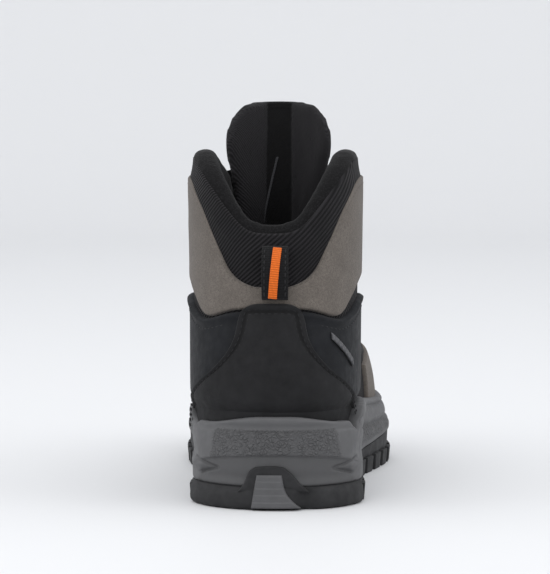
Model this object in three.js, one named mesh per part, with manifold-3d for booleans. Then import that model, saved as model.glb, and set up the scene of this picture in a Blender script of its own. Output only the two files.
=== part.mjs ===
// A mid-height hiking boot for the right foot, as an assembly of its sewn and bonded pieces.
// Millimetres. +Y points to the toe, +X to the lateral (outer) side, +Z up.
// Inside this file y = 0 is the back of the heel and z = 0 the ground. The group that is exported
// is then moved so that its origin is the middle of the footprint, on the ground.
import * as THREE from "three";
import { mergeVertices } from "three/addons/utils/BufferGeometryUtils.js";
import Module from "manifold-3d";

const wasm = await Module();
wasm.setup();

// ---------------------------------------------------------------- driving dimensions
const SOLE_LENGTH = 300; // heel to toe of the sole unit
const HEEL_WIDTH = 80; // sole unit across the heel
const BALL_LATERAL = 57; // sole edge from the centre line at the ball, outer side
const BALL_MEDIAL = 52; // and inner side
const SHAFT_WIDTH = 79; // ankle shaft, across the lining line
const RIM_BACK = 134.5; // height of the collar at the back
const RIM_SIDE = 171; // height of the collar lobes
const TONGUE_TOP = 196; // height of the tongue
const TONGUE_TURN = 40; // half-width of the tongue's flap, in degrees around the shaft
const HEEL_STACK = 44; // top edge of the midsole at the heel
const BALL_STACK = 35; // and at the ball
const FOOTBED_DROP = 11; // how far the footbed lies below that edge
const OUTSOLE_HEEL = 12; // outsole thickness at the heel, lugs included
const LUG_DEPTH = 5;
const TOE_SPRING = 13; // lift of the tread at the toe
const LEATHER = 1.5; // thickness of one outer layer
const LINING = 1.6;
const COLLAR_FOAM = 5.5;
const STIFFENER = 2;
const GAP = 0.3; // clearance between pieces that are sewn or bonded
const LAYER_GAP = 0.6; // clearance between two curved layers
const LACE_DIAMETER = 3.6;
const LOOP_WIDTH = 12.5; // heel pull loop webbing
const LOOP_BASE = 98;
const LOOP_HEIGHT = 27;

// ---------------------------------------------------------------- small helpers
const radians = THREE.MathUtils.degToRad;
const clamp = THREE.MathUtils.clamp;
const mix = THREE.MathUtils.lerp;
const vec = (x, y, z) => new THREE.Vector3(x, y, z);

// A smooth function through [position, value] stations, with level ends.
function curve(stations) {
  const slope = (i) => {
    const before = stations[Math.max(i - 1, 0)];
    const after = stations[Math.min(i + 1, stations.length - 1)];
    return (after[1] - before[1]) / (after[0] - before[0]);
  };
  return (at) => {
    const x = clamp(at, stations[0][0], stations[stations.length - 1][0]);
    let i = 0;
    while (i < stations.length - 2 && x > stations[i + 1][0]) i += 1;
    const [x0, v0] = stations[i];
    const [x1, v1] = stations[i + 1];
    const h = x1 - x0;
    const t = (x - x0) / h;
    const ends = (2 * t ** 3 - 3 * t ** 2) * (v0 - v1) + v0;
    return ends + h * ((t ** 3 - 2 * t ** 2 + t) * slope(i) + (t ** 3 - t ** 2) * slope(i + 1));
  };
}

// A closed body between two grids of points: point(s, t, side) with s and t from 0 to 1,
// side 0 for the inner face and 1 for the outer face.
function slab(columns, rows, point) {
  const positions = [];
  const index = [];
  const at = (i, j, side) => (i * (rows + 1) + j) * 2 + side;
  for (let i = 0; i <= columns; i += 1) {
    for (let j = 0; j <= rows; j += 1) {
      for (const side of [0, 1]) positions.push(...point(i / columns, j / rows, side).toArray());
    }
  }
  const quad = (a, b, c, d) => index.push(a, b, c, a, c, d);
  for (let i = 0; i < columns; i += 1) {
    for (let j = 0; j < rows; j += 1) {
      quad(at(i, j, 1), at(i + 1, j, 1), at(i + 1, j + 1, 1), at(i, j + 1, 1));
      quad(at(i, j, 0), at(i, j + 1, 0), at(i + 1, j + 1, 0), at(i + 1, j, 0));
    }
    quad(at(i, 0, 0), at(i + 1, 0, 0), at(i + 1, 0, 1), at(i, 0, 1));
    quad(at(i, rows, 1), at(i + 1, rows, 1), at(i + 1, rows, 0), at(i, rows, 0));
  }
  for (let j = 0; j < rows; j += 1) {
    quad(at(0, j, 1), at(0, j + 1, 1), at(0, j + 1, 0), at(0, j, 0));
    quad(at(columns, j, 0), at(columns, j + 1, 0), at(columns, j + 1, 1), at(columns, j, 1));
  }
  return closedGeometry(positions, index);
}

// A BufferGeometry from points and triangles, turned inside out if its volume comes out negative.
function closedGeometry(positions, index) {
  let volume = 0;
  const corner = (k) => new THREE.Vector3().fromArray(positions, index[k] * 3);
  for (let k = 0; k < index.length; k += 3) {
    volume += corner(k).dot(corner(k + 1).cross(corner(k + 2)));
  }
  if (volume < 0) index.reverse();
  const geometry = new THREE.BufferGeometry();
  geometry.setAttribute("position", new THREE.Float32BufferAttribute(positions, 3));
  geometry.setIndex(index);
  return geometry;
}

function toSolid(geometry) {
  const bare = geometry.clone();
  bare.deleteAttribute("normal");
  bare.deleteAttribute("uv");
  const merged = mergeVertices(bare, 1e-4);
  return new wasm.Manifold(new wasm.Mesh({
    numProp: 3,
    vertProperties: new Float32Array(merged.attributes.position.array),
    triVerts: new Uint32Array(merged.index.array),
  }));
}

function toGeometry(solid) {
  const mesh = solid.getMesh();
  const geometry = new THREE.BufferGeometry();
  geometry.setAttribute("position", new THREE.BufferAttribute(mesh.vertProperties, 3));
  geometry.setIndex(new THREE.BufferAttribute(mesh.triVerts, 1));
  return geometry;
}

const boot = new THREE.Group();

function addPiece(name, geometry, color, roughness, metalness = 0) {
  const mesh = new THREE.Mesh(geometry, new THREE.MeshStandardMaterial({ color, roughness, metalness }));
  mesh.name = name;
  boot.add(mesh);
  return mesh;
}

const BLACK = 0x2c2d2f;
const MESH_BLACK = 0x232224;
const SUEDE = 0x766e67;
const SOLE_GREY = 0x6c6c6e;
const RUBBER = 0x2f3031;
const ORANGE = 0xd4622a;
const STEEL = 0x8c8e90;
const INSERT_GREY = 0x626264;
const BOARD = 0x8a8478;
const STIFF_BOARD = 0xb9b2a4;
const FOAM_GREY = 0x3a3b3d;
const KNIT_BLACK = 0x201f21;
const WEB_BLACK = 0x252527;
const LACE_BLACK = 0x2a2a2c;
const TAPE_GREY = 0x8b8b90;

// ---------------------------------------------------------------- form of the last
const HEEL_ROUND = 44; // length over which the heel end rounds off
const TOE_ROUND = 86;
const END_POWER = 2.3;
const centreX = curve([[0, 0], [120, 0], [200, (BALL_LATERAL - BALL_MEDIAL) / 2], [260, -2], [300, -7]]);
const ballHalf = (BALL_LATERAL + BALL_MEDIAL) / 2;
const heelHalf = HEEL_WIDTH / 2 + 2.5;
const soleHalf = curve([
  [0, heelHalf - 3], [45, heelHalf], [95, heelHalf - 3], [130, heelHalf - 1], [165, ballHalf - 5.5],
  [200, ballHalf], [235, ballHalf - 1.5], [270, ballHalf - 7], [SOLE_LENGTH, ballHalf - 12],
]);

// How far a station lies into the rounded heel or toe end, 0 to 1.
function endShare(y, inset = 0) {
  const heel = (HEEL_ROUND - y) / (HEEL_ROUND - inset);
  const toe = (y - (SOLE_LENGTH - TOE_ROUND)) / (TOE_ROUND - inset);
  return Math.max(0, heel, toe);
}

// Edge of the sole at station y, on side +1 (lateral) or -1 (medial), drawn in by an inset.
function soleEdge(y, side, inset) {
  const round = (1 - Math.min(1, endShare(y, inset)) ** END_POWER) ** (1 / END_POWER);
  return centreX(y) + side * (soleHalf(y) - inset) * round;
}

const feather = curve([
  [0, HEEL_STACK], [70, HEEL_STACK + 1], [125, mix(BALL_STACK, HEEL_STACK, 0.6)],
  [195, BALL_STACK], [245, BALL_STACK + 2], [SOLE_LENGTH, BALL_STACK + 9],
]);
const footbed = (y) => feather(y) - FOOTBED_DROP;
const treadLow = (y) => TOE_SPRING * Math.max(0, (y - 205) / (SOLE_LENGTH - 205)) ** 2;
const treadHigh = curve([
  [0, OUTSOLE_HEEL], [80, OUTSOLE_HEEL - 1], [130, OUTSOLE_HEEL + 1], [195, OUTSOLE_HEEL + 5],
  [255, OUTSOLE_HEEL + 9], [SOLE_LENGTH, OUTSOLE_HEEL + 18],
]);

// The lining line of the upper is a blend of a foot body and a shaft body.
const LAST_INSET = 6;
const FOREFOOT_INSET = 5; // how much further the upper stands in from the sole edge at the ball
const FOOT_FLOOR = 26;
const instepTop = curve([[0, 62], [110, 88], [150, 84], [185, 66], [220, 54], [255, 45], [300, 40]]);
const foreHalf = ballHalf - LAST_INSET;
const footHalf = curve([
  [0, 30], [70, heelHalf - 9], [120, heelHalf - 6], [165, foreHalf - 5.5 - FOREFOOT_INSET * 0.7],
  [200, foreHalf - FOREFOOT_INSET], [235, foreHalf - 1.5 - FOREFOOT_INSET * 0.9],
  [270, foreHalf - 8 - FOREFOOT_INSET * 0.5], [SOLE_LENGTH, foreHalf - 13],
]);
const shaftHalf = curve([
  [30, SHAFT_WIDTH / 2 - 2.5], [60, SHAFT_WIDTH / 2 - 1], [100, SHAFT_WIDTH / 2 - 0.5],
  [RIM_BACK, SHAFT_WIDTH / 2], [RIM_SIDE - 10, SHAFT_WIDTH / 2], [TONGUE_TOP + 10, SHAFT_WIDTH / 2 - 4],
]);
const shaftBack = curve([
  [30, 12], [44, 8.5], [62, 6], [80, 7], [100, 11], [120, 14.5], [RIM_BACK, 14], [RIM_SIDE, 8],
  [TONGUE_TOP + 10, 6],
]);
const shaftFront = curve([[30, 118], [100, 124], [140, 124], [RIM_SIDE, 128], [TONGUE_TOP + 10, 137]]);
const BLEND = 12;

function lastField(x, y, z) {
  const up = Math.max(0, (z - FOOT_FLOOR) / instepTop(y));
  const across = Math.abs((x - centreX(y)) / footHalf(y));
  const along = endShare(y, LAST_INSET);
  const foot = ((across ** 2.4 + up ** 2.4 + along ** 2.4) ** (1 / 2.4) - 1) * 42;
  const middle = (shaftFront(z) + shaftBack(z)) / 2;
  const depth = (shaftFront(z) - shaftBack(z)) / 2;
  const ring = Math.abs(x / shaftHalf(z)) ** 2.25 + Math.abs((y - middle) / depth) ** 2.25;
  const shaft = (ring ** (1 / 2.25) - 1) * 42;
  const share = clamp(0.5 + (0.5 * (shaft - foot)) / BLEND, 0, 1);
  return mix(shaft, foot, share) - BLEND * share * (1 - share);
}

function lastNormal(p) {
  const e = 0.05;
  return vec(
    lastField(p.x + e, p.y, p.z) - lastField(p.x - e, p.y, p.z),
    lastField(p.x, p.y + e, p.z) - lastField(p.x, p.y - e, p.z),
    lastField(p.x, p.y, p.z + e) - lastField(p.x, p.y, p.z - e),
  ).normalize();
}

// Where a ray from inside meets the lining line, raised along the surface normal.
function onLast(origin, direction, raise) {
  let far = 4;
  const along = (r) => origin.clone().addScaledVector(direction, r);
  const inside = (r) => {
    const p = along(r);
    return lastField(p.x, p.y, p.z) < 0;
  };
  while (far < 260 && inside(far)) far += 4;
  let near = far - 4;
  for (let k = 0; k < 22; k += 1) {
    const half = (near + far) / 2;
    if (inside(half)) near = half;
    else far = half;
  }
  const p = along(near);
  p.addScaledVector(lastNormal(p), raise);
  p.z = Math.max(p.z, feather(p.y) + GAP);
  return p;
}

// Three ways to name a place on the upper.
const ANKLE_Y = 58;
// around the ankle: turn in degrees from the back of the heel, + to the lateral side
function aroundHeel(turn, z, raise) {
  const a = radians(turn);
  return onLast(vec(0, ANKLE_Y, z), vec(Math.sin(a), -Math.cos(a), 0), raise);
}
// across the foot: share 0 at the ball to 1 at the top of the shaft, turn from the middle line
const spineY = curve([[0, 232], [0.25, 175], [0.5, 112], [0.75, 76], [1, 70]]);
const spineZ = curve([[0, 40], [0.25, 46], [0.5, 70], [0.75, 118], [1, TONGUE_TOP - 7]]);
const spineLean = curve([[0, 0], [0.25, 18], [0.5, 48], [0.75, 76], [1, 86]]);
function acrossFoot(share, turn, raise) {
  const a = radians(turn);
  const lean = radians(spineLean(share));
  const direction = vec(Math.sin(a), Math.cos(a) * Math.sin(lean), Math.cos(a) * Math.cos(lean));
  return onLast(vec(0, spineY(share), spineZ(share)), direction, raise);
}
// around the toe: turn from straight ahead, rise in degrees above the sole edge
const TOE_Y = spineY(0) + GAP + 0.1;
function aroundToe(turn, rise, raise) {
  const a = radians(turn);
  const e = radians(rise);
  const edgeY = TOE_Y + (SOLE_LENGTH - TOE_Y) * Math.max(0, Math.cos(a));
  const origin = vec(centreX(TOE_Y), TOE_Y, feather(edgeY) + GAP);
  const direction = vec(Math.sin(a) * Math.cos(e), Math.cos(a) * Math.cos(e), Math.sin(e));
  return onLast(origin, direction, raise);
}

// ---------------------------------------------------------------- sole unit
const STATIONS = 22;

// A closed body from stacked outlines of the sole: each ring is [inset, height(y)].
function soleStack(rings) {
  const positions = [];
  const index = [];
  const count = STATIONS * 2;
  for (const [inset, height] of rings) {
    for (let k = 0; k < count; k += 1) {
      const i = k <= STATIONS ? k : count - k;
      const side = k <= STATIONS ? 1 : -1;
      const y = inset + ((SOLE_LENGTH - 2 * inset) * (1 - Math.cos((Math.PI * i) / STATIONS))) / 2;
      positions.push(soleEdge(y, side, inset), y, height(y));
    }
  }
  for (let r = 0; r < rings.length - 1; r += 1) {
    for (let k = 0; k < count; k += 1) {
      const next = (k + 1) % count;
      const [a, b, c, d] = [r * count + k, r * count + next, (r + 1) * count + next, (r + 1) * count + k];
      index.push(a, b, c, a, c, d);
    }
  }
  const top = (rings.length - 1) * count;
  for (const [base, flip] of [[0, true], [top, false]]) {
    for (let i = 0; i < STATIONS; i += 1) {
      const across = [base + ((count - i - 1) % count), base + ((count - i) % count)];
      const ladder = [base + i, base + i + 1, ...across];
      if (flip) ladder.reverse();
      const [a, b, c, d] = ladder;
      if (a !== b && a !== c && b !== c) index.push(a, b, c);
      if (a !== c && a !== d && c !== d) index.push(a, c, d);
    }
  }
  return closedGeometry(positions, index);
}

const offsetHeight = (height, by) => (y) => height(y) + by;

// A prism with its outline [x, z] in a cross plane, from y = near to y = far.
function crossPrism(outline, near, far) {
  const shape = new THREE.Shape(outline.map(([x, z]) => new THREE.Vector2(x, z)));
  const prism = new THREE.ExtrudeGeometry(shape, { depth: far - near, bevelEnabled: false });
  prism.rotateX(Math.PI / 2);
  prism.translate(0, far, 0);
  return prism;
}

// The raised middle of the outsole at the back of the heel, and the ribbed insert let into it.
const HEEL_TAB = [[-17, 6], [-11.5, 20], [7.7, 20], [17, 6]];
const INSERT = [[-10, 1.5], [-7.7, 17], [4.3, 17], [13.4, 1.5]];
const TAB_DEPTH = 10;
const INSERT_DEPTH = 7;
const grow = (outline, by) => {
  const midX = outline.reduce((sum, p) => sum + p[0], 0) / outline.length;
  const midZ = outline.reduce((sum, p) => sum + p[1], 0) / outline.length;
  return outline.map(([x, z]) => [x + Math.sign(x - midX) * by, z + Math.sign(z - midZ) * by]);
};

function lug(corners, low, high) {
  const positions = [];
  for (const lift of [0, 1]) {
    for (const [x, y] of corners) positions.push(x, y, lift ? high(y) : low(y));
  }
  const index = [0, 2, 1, 0, 3, 2, 4, 5, 6, 4, 6, 7];
  for (let k = 0; k < 4; k += 1) {
    const n = (k + 1) % 4;
    index.push(k, n, 4 + n, k, 4 + n, 4 + k);
  }
  return toSolid(closedGeometry(positions, index));
}

const LUG_PITCH = 17;
const LUG_LENGTH = 12;
const ARCH_FROM = 84; // no lugs under the arch, between these stations
const ARCH_TO = 112;
const LUG_START = 5;
const plateLow = (y) => treadLow(y) + LUG_DEPTH;
const towardsEdge = (y, side, share) => mix(centreX(y), soleEdge(y, side, 1.5), share);

// Plan outlines of a lug at the edge of the sole and of one beside its middle line.
function rimLug(y, side) {
  const end = y + LUG_LENGTH;
  const near = [[towardsEdge(y, side, 0.5), y + 2], [towardsEdge(y + 1, side, 1), y]];
  return [...near, [towardsEdge(end, side, 1), end], [towardsEdge(end, side, 0.5), end + 2]];
}

function middleLug(y, side) {
  const end = y + LUG_LENGTH;
  const near = [[centreX(y) + side, y + 5], [towardsEdge(y, side, 0.36), y - 1]];
  return [...near, [towardsEdge(end, side, 0.36), end - 3], [centreX(y) + side, end + 2]];
}

function outsole() {
  const plate = soleStack([
    [5, plateLow], [1.5, offsetHeight(plateLow, 0.4)], [0.8, offsetHeight(treadHigh, 0)], [2, treadHigh],
  ]);
  let body = toSolid(plate);
  const high = offsetHeight(plateLow, 1);
  for (let y = LUG_START; y < SOLE_LENGTH - LUG_LENGTH - 4; y += LUG_PITCH) {
    if (y + LUG_LENGTH > ARCH_FROM && y < ARCH_TO) continue;
    for (const side of [1, -1]) {
      body = body.add(lug(rimLug(y, side), treadLow, high));
      if (y > TAB_DEPTH) body = body.add(lug(middleLug(y, side), treadLow, high));
    }
  }
  body = body.add(toSolid(crossPrism(HEEL_TAB, 0.6, TAB_DEPTH)));
  body = body.add(lug([[-16, 1.2], [16, 1.2], [18, 13], [-18, 13]], treadLow, high));
  const socket = toSolid(crossPrism(grow(INSERT, GAP), -4, INSERT_DEPTH));
  return toGeometry(body.subtract(socket));
}

function midsole() {
  const low = offsetHeight(treadHigh, GAP);
  const band = (share) => (y) => mix(low(y), feather(y), share);
  const body = toSolid(soleStack([
    [2.2, low], [0.6, band(0.12)], [-0.6, band(0.3)], [0.9, band(0.45)], [0.2, band(0.75)],
    [1.2, feather], [11.5, feather], [11.5, footbed],
  ]));
  const notch = toSolid(crossPrism(grow(HEEL_TAB, GAP), -4, TAB_DEPTH + GAP));
  const shankRoom = toSolid(shankBox(GAP));
  return toGeometry(body.subtract(notch).subtract(shankRoom));
}

const SHANK_LENGTH = 110;
const SHANK_WIDTH = 22;
const SHANK_THICK = 1.5;
const SHANK_MIDDLE = 105; // from the back of the heel
const BOARD_THICK = 2;

// The shank follows the footbed. Its room in the midsole is larger all round and open at the top.
function shankBox(clearance) {
  const length = SHANK_LENGTH + 2 * clearance;
  const box = new THREE.BoxGeometry(SHANK_WIDTH + 2 * clearance, length, 1, 1, 8, 1);
  const at = box.attributes.position;
  for (let k = 0; k < at.count; k += 1) {
    const y = at.getY(k) + SHANK_MIDDLE;
    const above = at.getZ(k) > 0 ? clearance * 4 : -SHANK_THICK - clearance;
    at.setY(k, y);
    at.setZ(k, footbed(y) + above);
  }
  return box;
}

const INSOLE_THICK = 4.5;
addPiece("outsole", outsole(), RUBBER, 0.8);
addPiece("heel_insert", crossPrism(INSERT, 0.4, INSERT_DEPTH - GAP), INSERT_GREY, 0.75);
addPiece("midsole", midsole(), SOLE_GREY, 0.7);
addPiece("shank", shankBox(0), STEEL, 0.4, 0.9);
const boardLow = offsetHeight(footbed, GAP);
const insoleLow = offsetHeight(boardLow, BOARD_THICK + GAP);
const boardHigh = offsetHeight(boardLow, BOARD_THICK);
const insoleEdge = offsetHeight(insoleLow, INSOLE_THICK * 0.6);
const insoleHigh = offsetHeight(insoleLow, INSOLE_THICK);
addPiece("lasting_board", soleStack([[12, boardLow], [12, boardHigh]]), BOARD, 0.9);
addPiece("insole", soleStack([[15, insoleLow], [14.5, insoleEdge], [15.5, insoleHigh]]), FOAM_GREY, 0.95);

// ---------------------------------------------------------------- layers of the upper
// Heights of each layer's two faces over the lining line.
const SHELL = [0, LEATHER];
const OVERLAY = [LEATHER + LAYER_GAP, 2 * LEATHER + LAYER_GAP];
const TOP = [2 * (LEATHER + LAYER_GAP), 3 * LEATHER + 2 * LAYER_GAP];
const STIFF = [-LAYER_GAP - STIFFENER, -LAYER_GAP];
const LOW_LINING = [-2 * LAYER_GAP - STIFFENER - LINING, -2 * LAYER_GAP - STIFFENER];
const FOAM = [-LAYER_GAP - COLLAR_FOAM, -LAYER_GAP];
const HIGH_LINING = [-2 * LAYER_GAP - COLLAR_FOAM - LINING, -2 * LAYER_GAP - COLLAR_FOAM];
const FRONT_LINING = [-LAYER_GAP - 0.5 - LINING, -LAYER_GAP - 0.5];

// Stations of a line around the ankle, as shares of the climb from its back to its side.
function climb(back, side, stations) {
  return curve(stations.map(([turn, share]) => [turn, mix(back, side, share)]));
}

const rim = climb(RIM_BACK, RIM_SIDE, [
  [0, 0], [12, 0.04], [20, 0.192], [32, 0.507], [45, 0.753], [57, 0.918], [75, 1], [100, 1], [120, 0.973],
]);
const SUEDE_LOW = 95.2;
const SUEDE_HIGH = 105.5;
const suedeTop = climb(SUEDE_HIGH, RIM_SIDE - 13, [
  [0, 0], [12, 0.01], [26, 0.143], [37, 0.429], [50, 0.733], [69, 0.943], [108, 1],
]);
const suedeBottom = curve([[0, SUEDE_LOW], [20, 94.4], [42, 91], [60, 99], [80, 106], [108, 110]]);
const quarterTop = curve([[0, 94], [20, 93.4], [42, 89.8], [60, 92.5], [80, 97], [110, 99], [150, 84]]);
const HEEL_TURN = 112; // the heel shell reaches this far round on both sides
const COLLAR_LOW = 92; // lower edge of the collar foam
const edgeZ = (y) => feather(y) + GAP;

// A panel around the ankle between two turns and two heights.
function heelPanel([turnA, turnB], low, high, faces, columns, rows) {
  return slab(columns, rows, (s, t, side) => {
    const turn = mix(turnA, turnB, s);
    const z = mix(low(Math.abs(turn)), high(Math.abs(turn)), t);
    const face = typeof faces === "function" ? faces(z)[side] : faces[side];
    return aroundHeel(turn, z, face);
  });
}

// The largest turn, out of a chart, at which a point still passes a test.
function reach(place, test, limit = 150) {
  let [low, high] = [0, limit];
  for (let k = 0; k < 16; k += 1) {
    const half = (low + high) / 2;
    if (test(place(half))) low = half;
    else high = half;
  }
  return low;
}

const turnOf = (p) => THREE.MathUtils.radToDeg(Math.atan2(Math.abs(p.x), ANKLE_Y - p.y));
// Half-width of the lace opening, in degrees either side of the middle line.
const throatTurn = curve([[0.2, 13], [0.3, 22], [0.5, 24], [0.75, 22], [1, 24]]);
const VAMP_SHARE = 0.24; // the quarters start here, behind the vamp
const SHAFT_SHARE = 0.9; // and end here, at the collar

// The turn at which a section across the foot meets the sole edge or the heel shell.
function sideEnd(share, side, raise, heelGap = GAP) {
  const heelTurn = HEEL_TURN + heelGap;
  const keeps = (p) => p.z > edgeZ(p.y) + 0.01 && turnOf(p) > heelTurn;
  return reach((turn) => acrossFoot(share, side * turn, raise), keeps);
}

// A panel beside the lace opening: from the throat edge down to the sole or round to the heel shell.
function sidePanel(side, [shareA, shareB], from, faces, columns, rows, width = null) {
  return slab(columns, rows, (s, t, face) => {
    const share = mix(shareA, shareB, s);
    const start = throatTurn(share) + from;
    const end = width === null ? sideEnd(share, side, 0) : start + width;
    return acrossFoot(share, side * mix(start, end, t), faces[face]);
  });
}

const SIDES = [["lateral", 1], ["medial", -1]];

// Shell, stiffener, foam and lining
const PANEL_LOW = 30; // panels run down to here behind the midsole
const heelShell = heelPanel([-HEEL_TURN, HEEL_TURN], () => PANEL_LOW, rim, SHELL, 26, 11);
addPiece("heel_shell", heelShell, MESH_BLACK, 0.9);
const stiffener = heelPanel([-88, 88], () => PANEL_LOW, () => COLLAR_LOW - 3, STIFF, 20, 5);
addPiece("heel_stiffener", stiffener, STIFF_BOARD, 0.7);
const heelTurns = [-HEEL_TURN, HEEL_TURN];
const foam = heelPanel(heelTurns, () => COLLAR_LOW, (turn) => rim(turn) - 1, FOAM, 26, 6);
addPiece("collar_foam", foam, FOAM_GREY, 0.95);
const liningFaces = (z) => {
  const share = clamp((z - COLLAR_LOW + 30) / 12, 0, 1);
  return [mix(LOW_LINING[0], HIGH_LINING[0], share), mix(LOW_LINING[1], HIGH_LINING[1], share)];
};
const heelLining = heelPanel(heelTurns, () => PANEL_LOW, (turn) => rim(turn) - 1.5, liningFaces, 26, 9);
addPiece("heel_lining", heelLining, KNIT_BLACK, 0.95);
for (const [word, side] of SIDES) {
  const range = [VAMP_SHARE, SHAFT_SHARE];
  addPiece(`side_shell_${word}`, sidePanel(side, range, 0, SHELL, 18, 10), MESH_BLACK, 0.9);
  addPiece(`side_lining_${word}`, sidePanel(side, range, 9, FRONT_LINING, 12, 6), KNIT_BLACK, 0.95);
}

// Vamp and toe: everything in front of the quarters.
const acrossSection = (y, turn, raise) => {
  const a = radians(turn);
  return onLast(vec(centreX(y), y, edgeZ(y)), vec(Math.sin(a), 0, Math.cos(a)), raise);
};

// The back edge of the vamp follows the front edge of the quarters.
function vampPanel(halfTurn, backGap, faces, columns, rows) {
  return slab(columns, rows, (s, t, side) => {
    const share = mix(0, VAMP_SHARE - backGap, t);
    const sign = s < 0.5 ? -1 : 1;
    const far = reach((turn) => acrossFoot(share, sign * turn, 0), (p) => p.z > edgeZ(p.y) + 0.01);
    return acrossFoot(share, mix(-1, 1, s) * Math.min(far, halfTurn), faces[side]);
  });
}

// The toe panel is a quarter dome whose flat back lies just in front of the vamp.
function toePanel(halfTurn, highest, faces, columns, rows) {
  return slab(columns, rows, (s, t, side) => {
    return aroundToe(mix(-halfTurn, halfTurn, s), highest * t, faces[side]);
  });
}

const VAMP_GAP = 0.0035; // share of the chart that leaves a hairline at the vamp's back edge
const TOE_TURN = 90;
const TOE_CROWN = 86;
addPiece("vamp", vampPanel(150, VAMP_GAP, SHELL, 18, 5), BLACK, 0.7);
addPiece("vamp_lining", vampPanel(150, VAMP_GAP, FRONT_LINING, 14, 3), KNIT_BLACK, 0.95);
addPiece("toe_box", toePanel(TOE_TURN, TOE_CROWN, SHELL, 20, 9), BLACK, 0.7);
addPiece("toe_puff", toePanel(TOE_TURN - 12, 66, STIFF, 20, 7), STIFF_BOARD, 0.7);

// Leather and suede laid over the shells
addPiece("suede_collar", heelPanel([-108, 108], suedeBottom, suedeTop, OVERLAY, 24, 4), SUEDE, 0.95);
const QUARTER_BACK = 13;
for (const [word, side] of SIDES) {
  const quarter = heelPanel([side * QUARTER_BACK, side * 146], () => PANEL_LOW, quarterTop, OVERLAY, 20, 6);
  addPiece(`quarter_${word}`, quarter, BLACK, 0.65);
}
const COUNTER_TOP = 97.5;
const COUNTER_LOW_TURN = 64;
const counterTurn = curve([
  [0, COUNTER_LOW_TURN], [0.3, 44], [0.45, 31], [0.6, 22.5], [0.75, 18.5], [0.93, 16.5], [1, 13],
]);
const counterPlace = (across, up, raise) => {
  const turn = across * counterTurn(up);
  const top = mix(COUNTER_TOP, COUNTER_TOP - 3, Math.abs(across) ** 6);
  return aroundHeel(turn, mix(HEEL_STACK + GAP, top, up), raise);
};
addPiece("counter", slab(16, 8, (s, t, side) => counterPlace(mix(-1, 1, s), t, TOP[side])), BLACK, 0.6);

// Eyestays beside the lace opening
const EYESTAY_TURN = 19.5;
for (const [word, side] of SIDES) {
  const range = [VAMP_SHARE + 0.015, SHAFT_SHARE - 0.01];
  addPiece(`eyestay_${word}`, sidePanel(side, range, 1, OVERLAY, 20, 3, EYESTAY_TURN), BLACK, 0.65);
}

// Toe rand of rubber and suede panels beside the ball
function toeRand() {
  return slab(18, 3, (s, t, side) => {
    const turn = mix(-TOE_TURN, TOE_TURN, s);
    const rise = mix(0, mix(36.8, 22, Math.abs(2 * s - 1)), t);
    return aroundToe(turn, rise, OVERLAY[side] + 0.3);
  });
}
addPiece("toe_rand", toeRand(), RUBBER, 0.8);
const FOREFOOT = [172, 226];
for (const [word, side] of SIDES) {
  addPiece(`forefoot_panel_${word}`, slab(8, 4, (s, t, face) => {
    const y = mix(FOREFOOT[0], FOREFOOT[1], s);
    const far = reach((turn) => acrossSection(y, side * turn, 0), (p) => p.z > edgeZ(p.y) + 0.01, 90);
    return acrossSection(y, side * mix(mix(56, 44, s), far, t), OVERLAY[face]);
  }), SUEDE, 0.95);
}

// Tongue: a lower part under the laces and an upper flap that folds forward
const TONGUE_SPLIT = 0.875;
const TONGUE_THICK = 5.4;
const TONGUE_FACES = [FRONT_LINING[0] - LAYER_GAP - TONGUE_THICK, FRONT_LINING[0] - LAYER_GAP];
const tongueTurn = curve([
  [0.25, 12], [0.35, 24], [0.6, 29], [0.85, 34], [0.93, TONGUE_TURN], [1, TONGUE_TURN],
]);
function tonguePart([shareA, shareB], rows, round) {
  return slab(8, rows, (s, t, side) => {
    const share = mix(shareA, shareB, t);
    const corner = round ? 1 - clamp((t - 0.3) / 0.7, 0, 1) ** 2.6 * 0.46 : 1;
    return acrossFoot(share, mix(-1, 1, s) * tongueTurn(share) * corner, TONGUE_FACES[side]);
  });
}
const tongueLower = tonguePart([VAMP_SHARE + 0.02, TONGUE_SPLIT - 0.004], 10, false);
addPiece("tongue_lower", tongueLower, MESH_BLACK, 0.95);
addPiece("tongue_upper", tonguePart([TONGUE_SPLIT, 1], 7, true), MESH_BLACK, 0.95);

// Tape sewn over the seam that slants up the inside of the lower tongue
const TAPE_TURN = 1.2;
const TAPE_PATH = [-9, -1]; // its turn at the lower and the upper end
addPiece("tongue_tape", slab(1, 6, (s, t, side) => {
  const share = mix(0.755, TONGUE_SPLIT - 0.007, t);
  const turn = mix(TAPE_PATH[0], TAPE_PATH[1], t) + mix(-TAPE_TURN, TAPE_TURN, s);
  return acrossFoot(share, turn, TONGUE_FACES[0] - mix(GAP + 0.8, GAP, side));
}), TAPE_GREY, 0.8);

// Gussets close the gap between tongue and shells
for (const [word, side] of SIDES) {
  const range = [VAMP_SHARE + 0.03, 0.7];
  addPiece(`gusset_${word}`, sidePanel(side, range, 1, [-2.4, -1.5], 12, 1, 7), MESH_BLACK, 0.95);
}

// ---------------------------------------------------------------- lacing
const ROWS = [0.3, 0.385, 0.47, 0.555, 0.64, 0.735, 0.82];
const FIRST_HOOK = 4; // rows from here up are open hooks
const RING_WIDTH = LACE_DIAMETER + 5.4;
const RING_HEIGHT = LACE_DIAMETER + 3.8;
const RING_WALL = 1.2;
const RING_LENGTH = 5;
const RING_RAISE = TOP[0] + RING_HEIGHT / 2;
const RING_TURN = 9; // outside the throat edge
const ringTurn = (row) => throatTurn(ROWS[row]) + RING_TURN;

// Axes at a place on the upper: across, up the boot and straight out.
function localFrame(share, turn) {
  const here = acrossFoot(share, turn, 0);
  const out = lastNormal(here);
  const up = acrossFoot(share + 0.01, turn, 0).sub(acrossFoot(share - 0.01, turn, 0)).normalize();
  const across = new THREE.Vector3().crossVectors(up, out).normalize();
  up.crossVectors(out, across);
  return { here, out, up, across };
}

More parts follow.
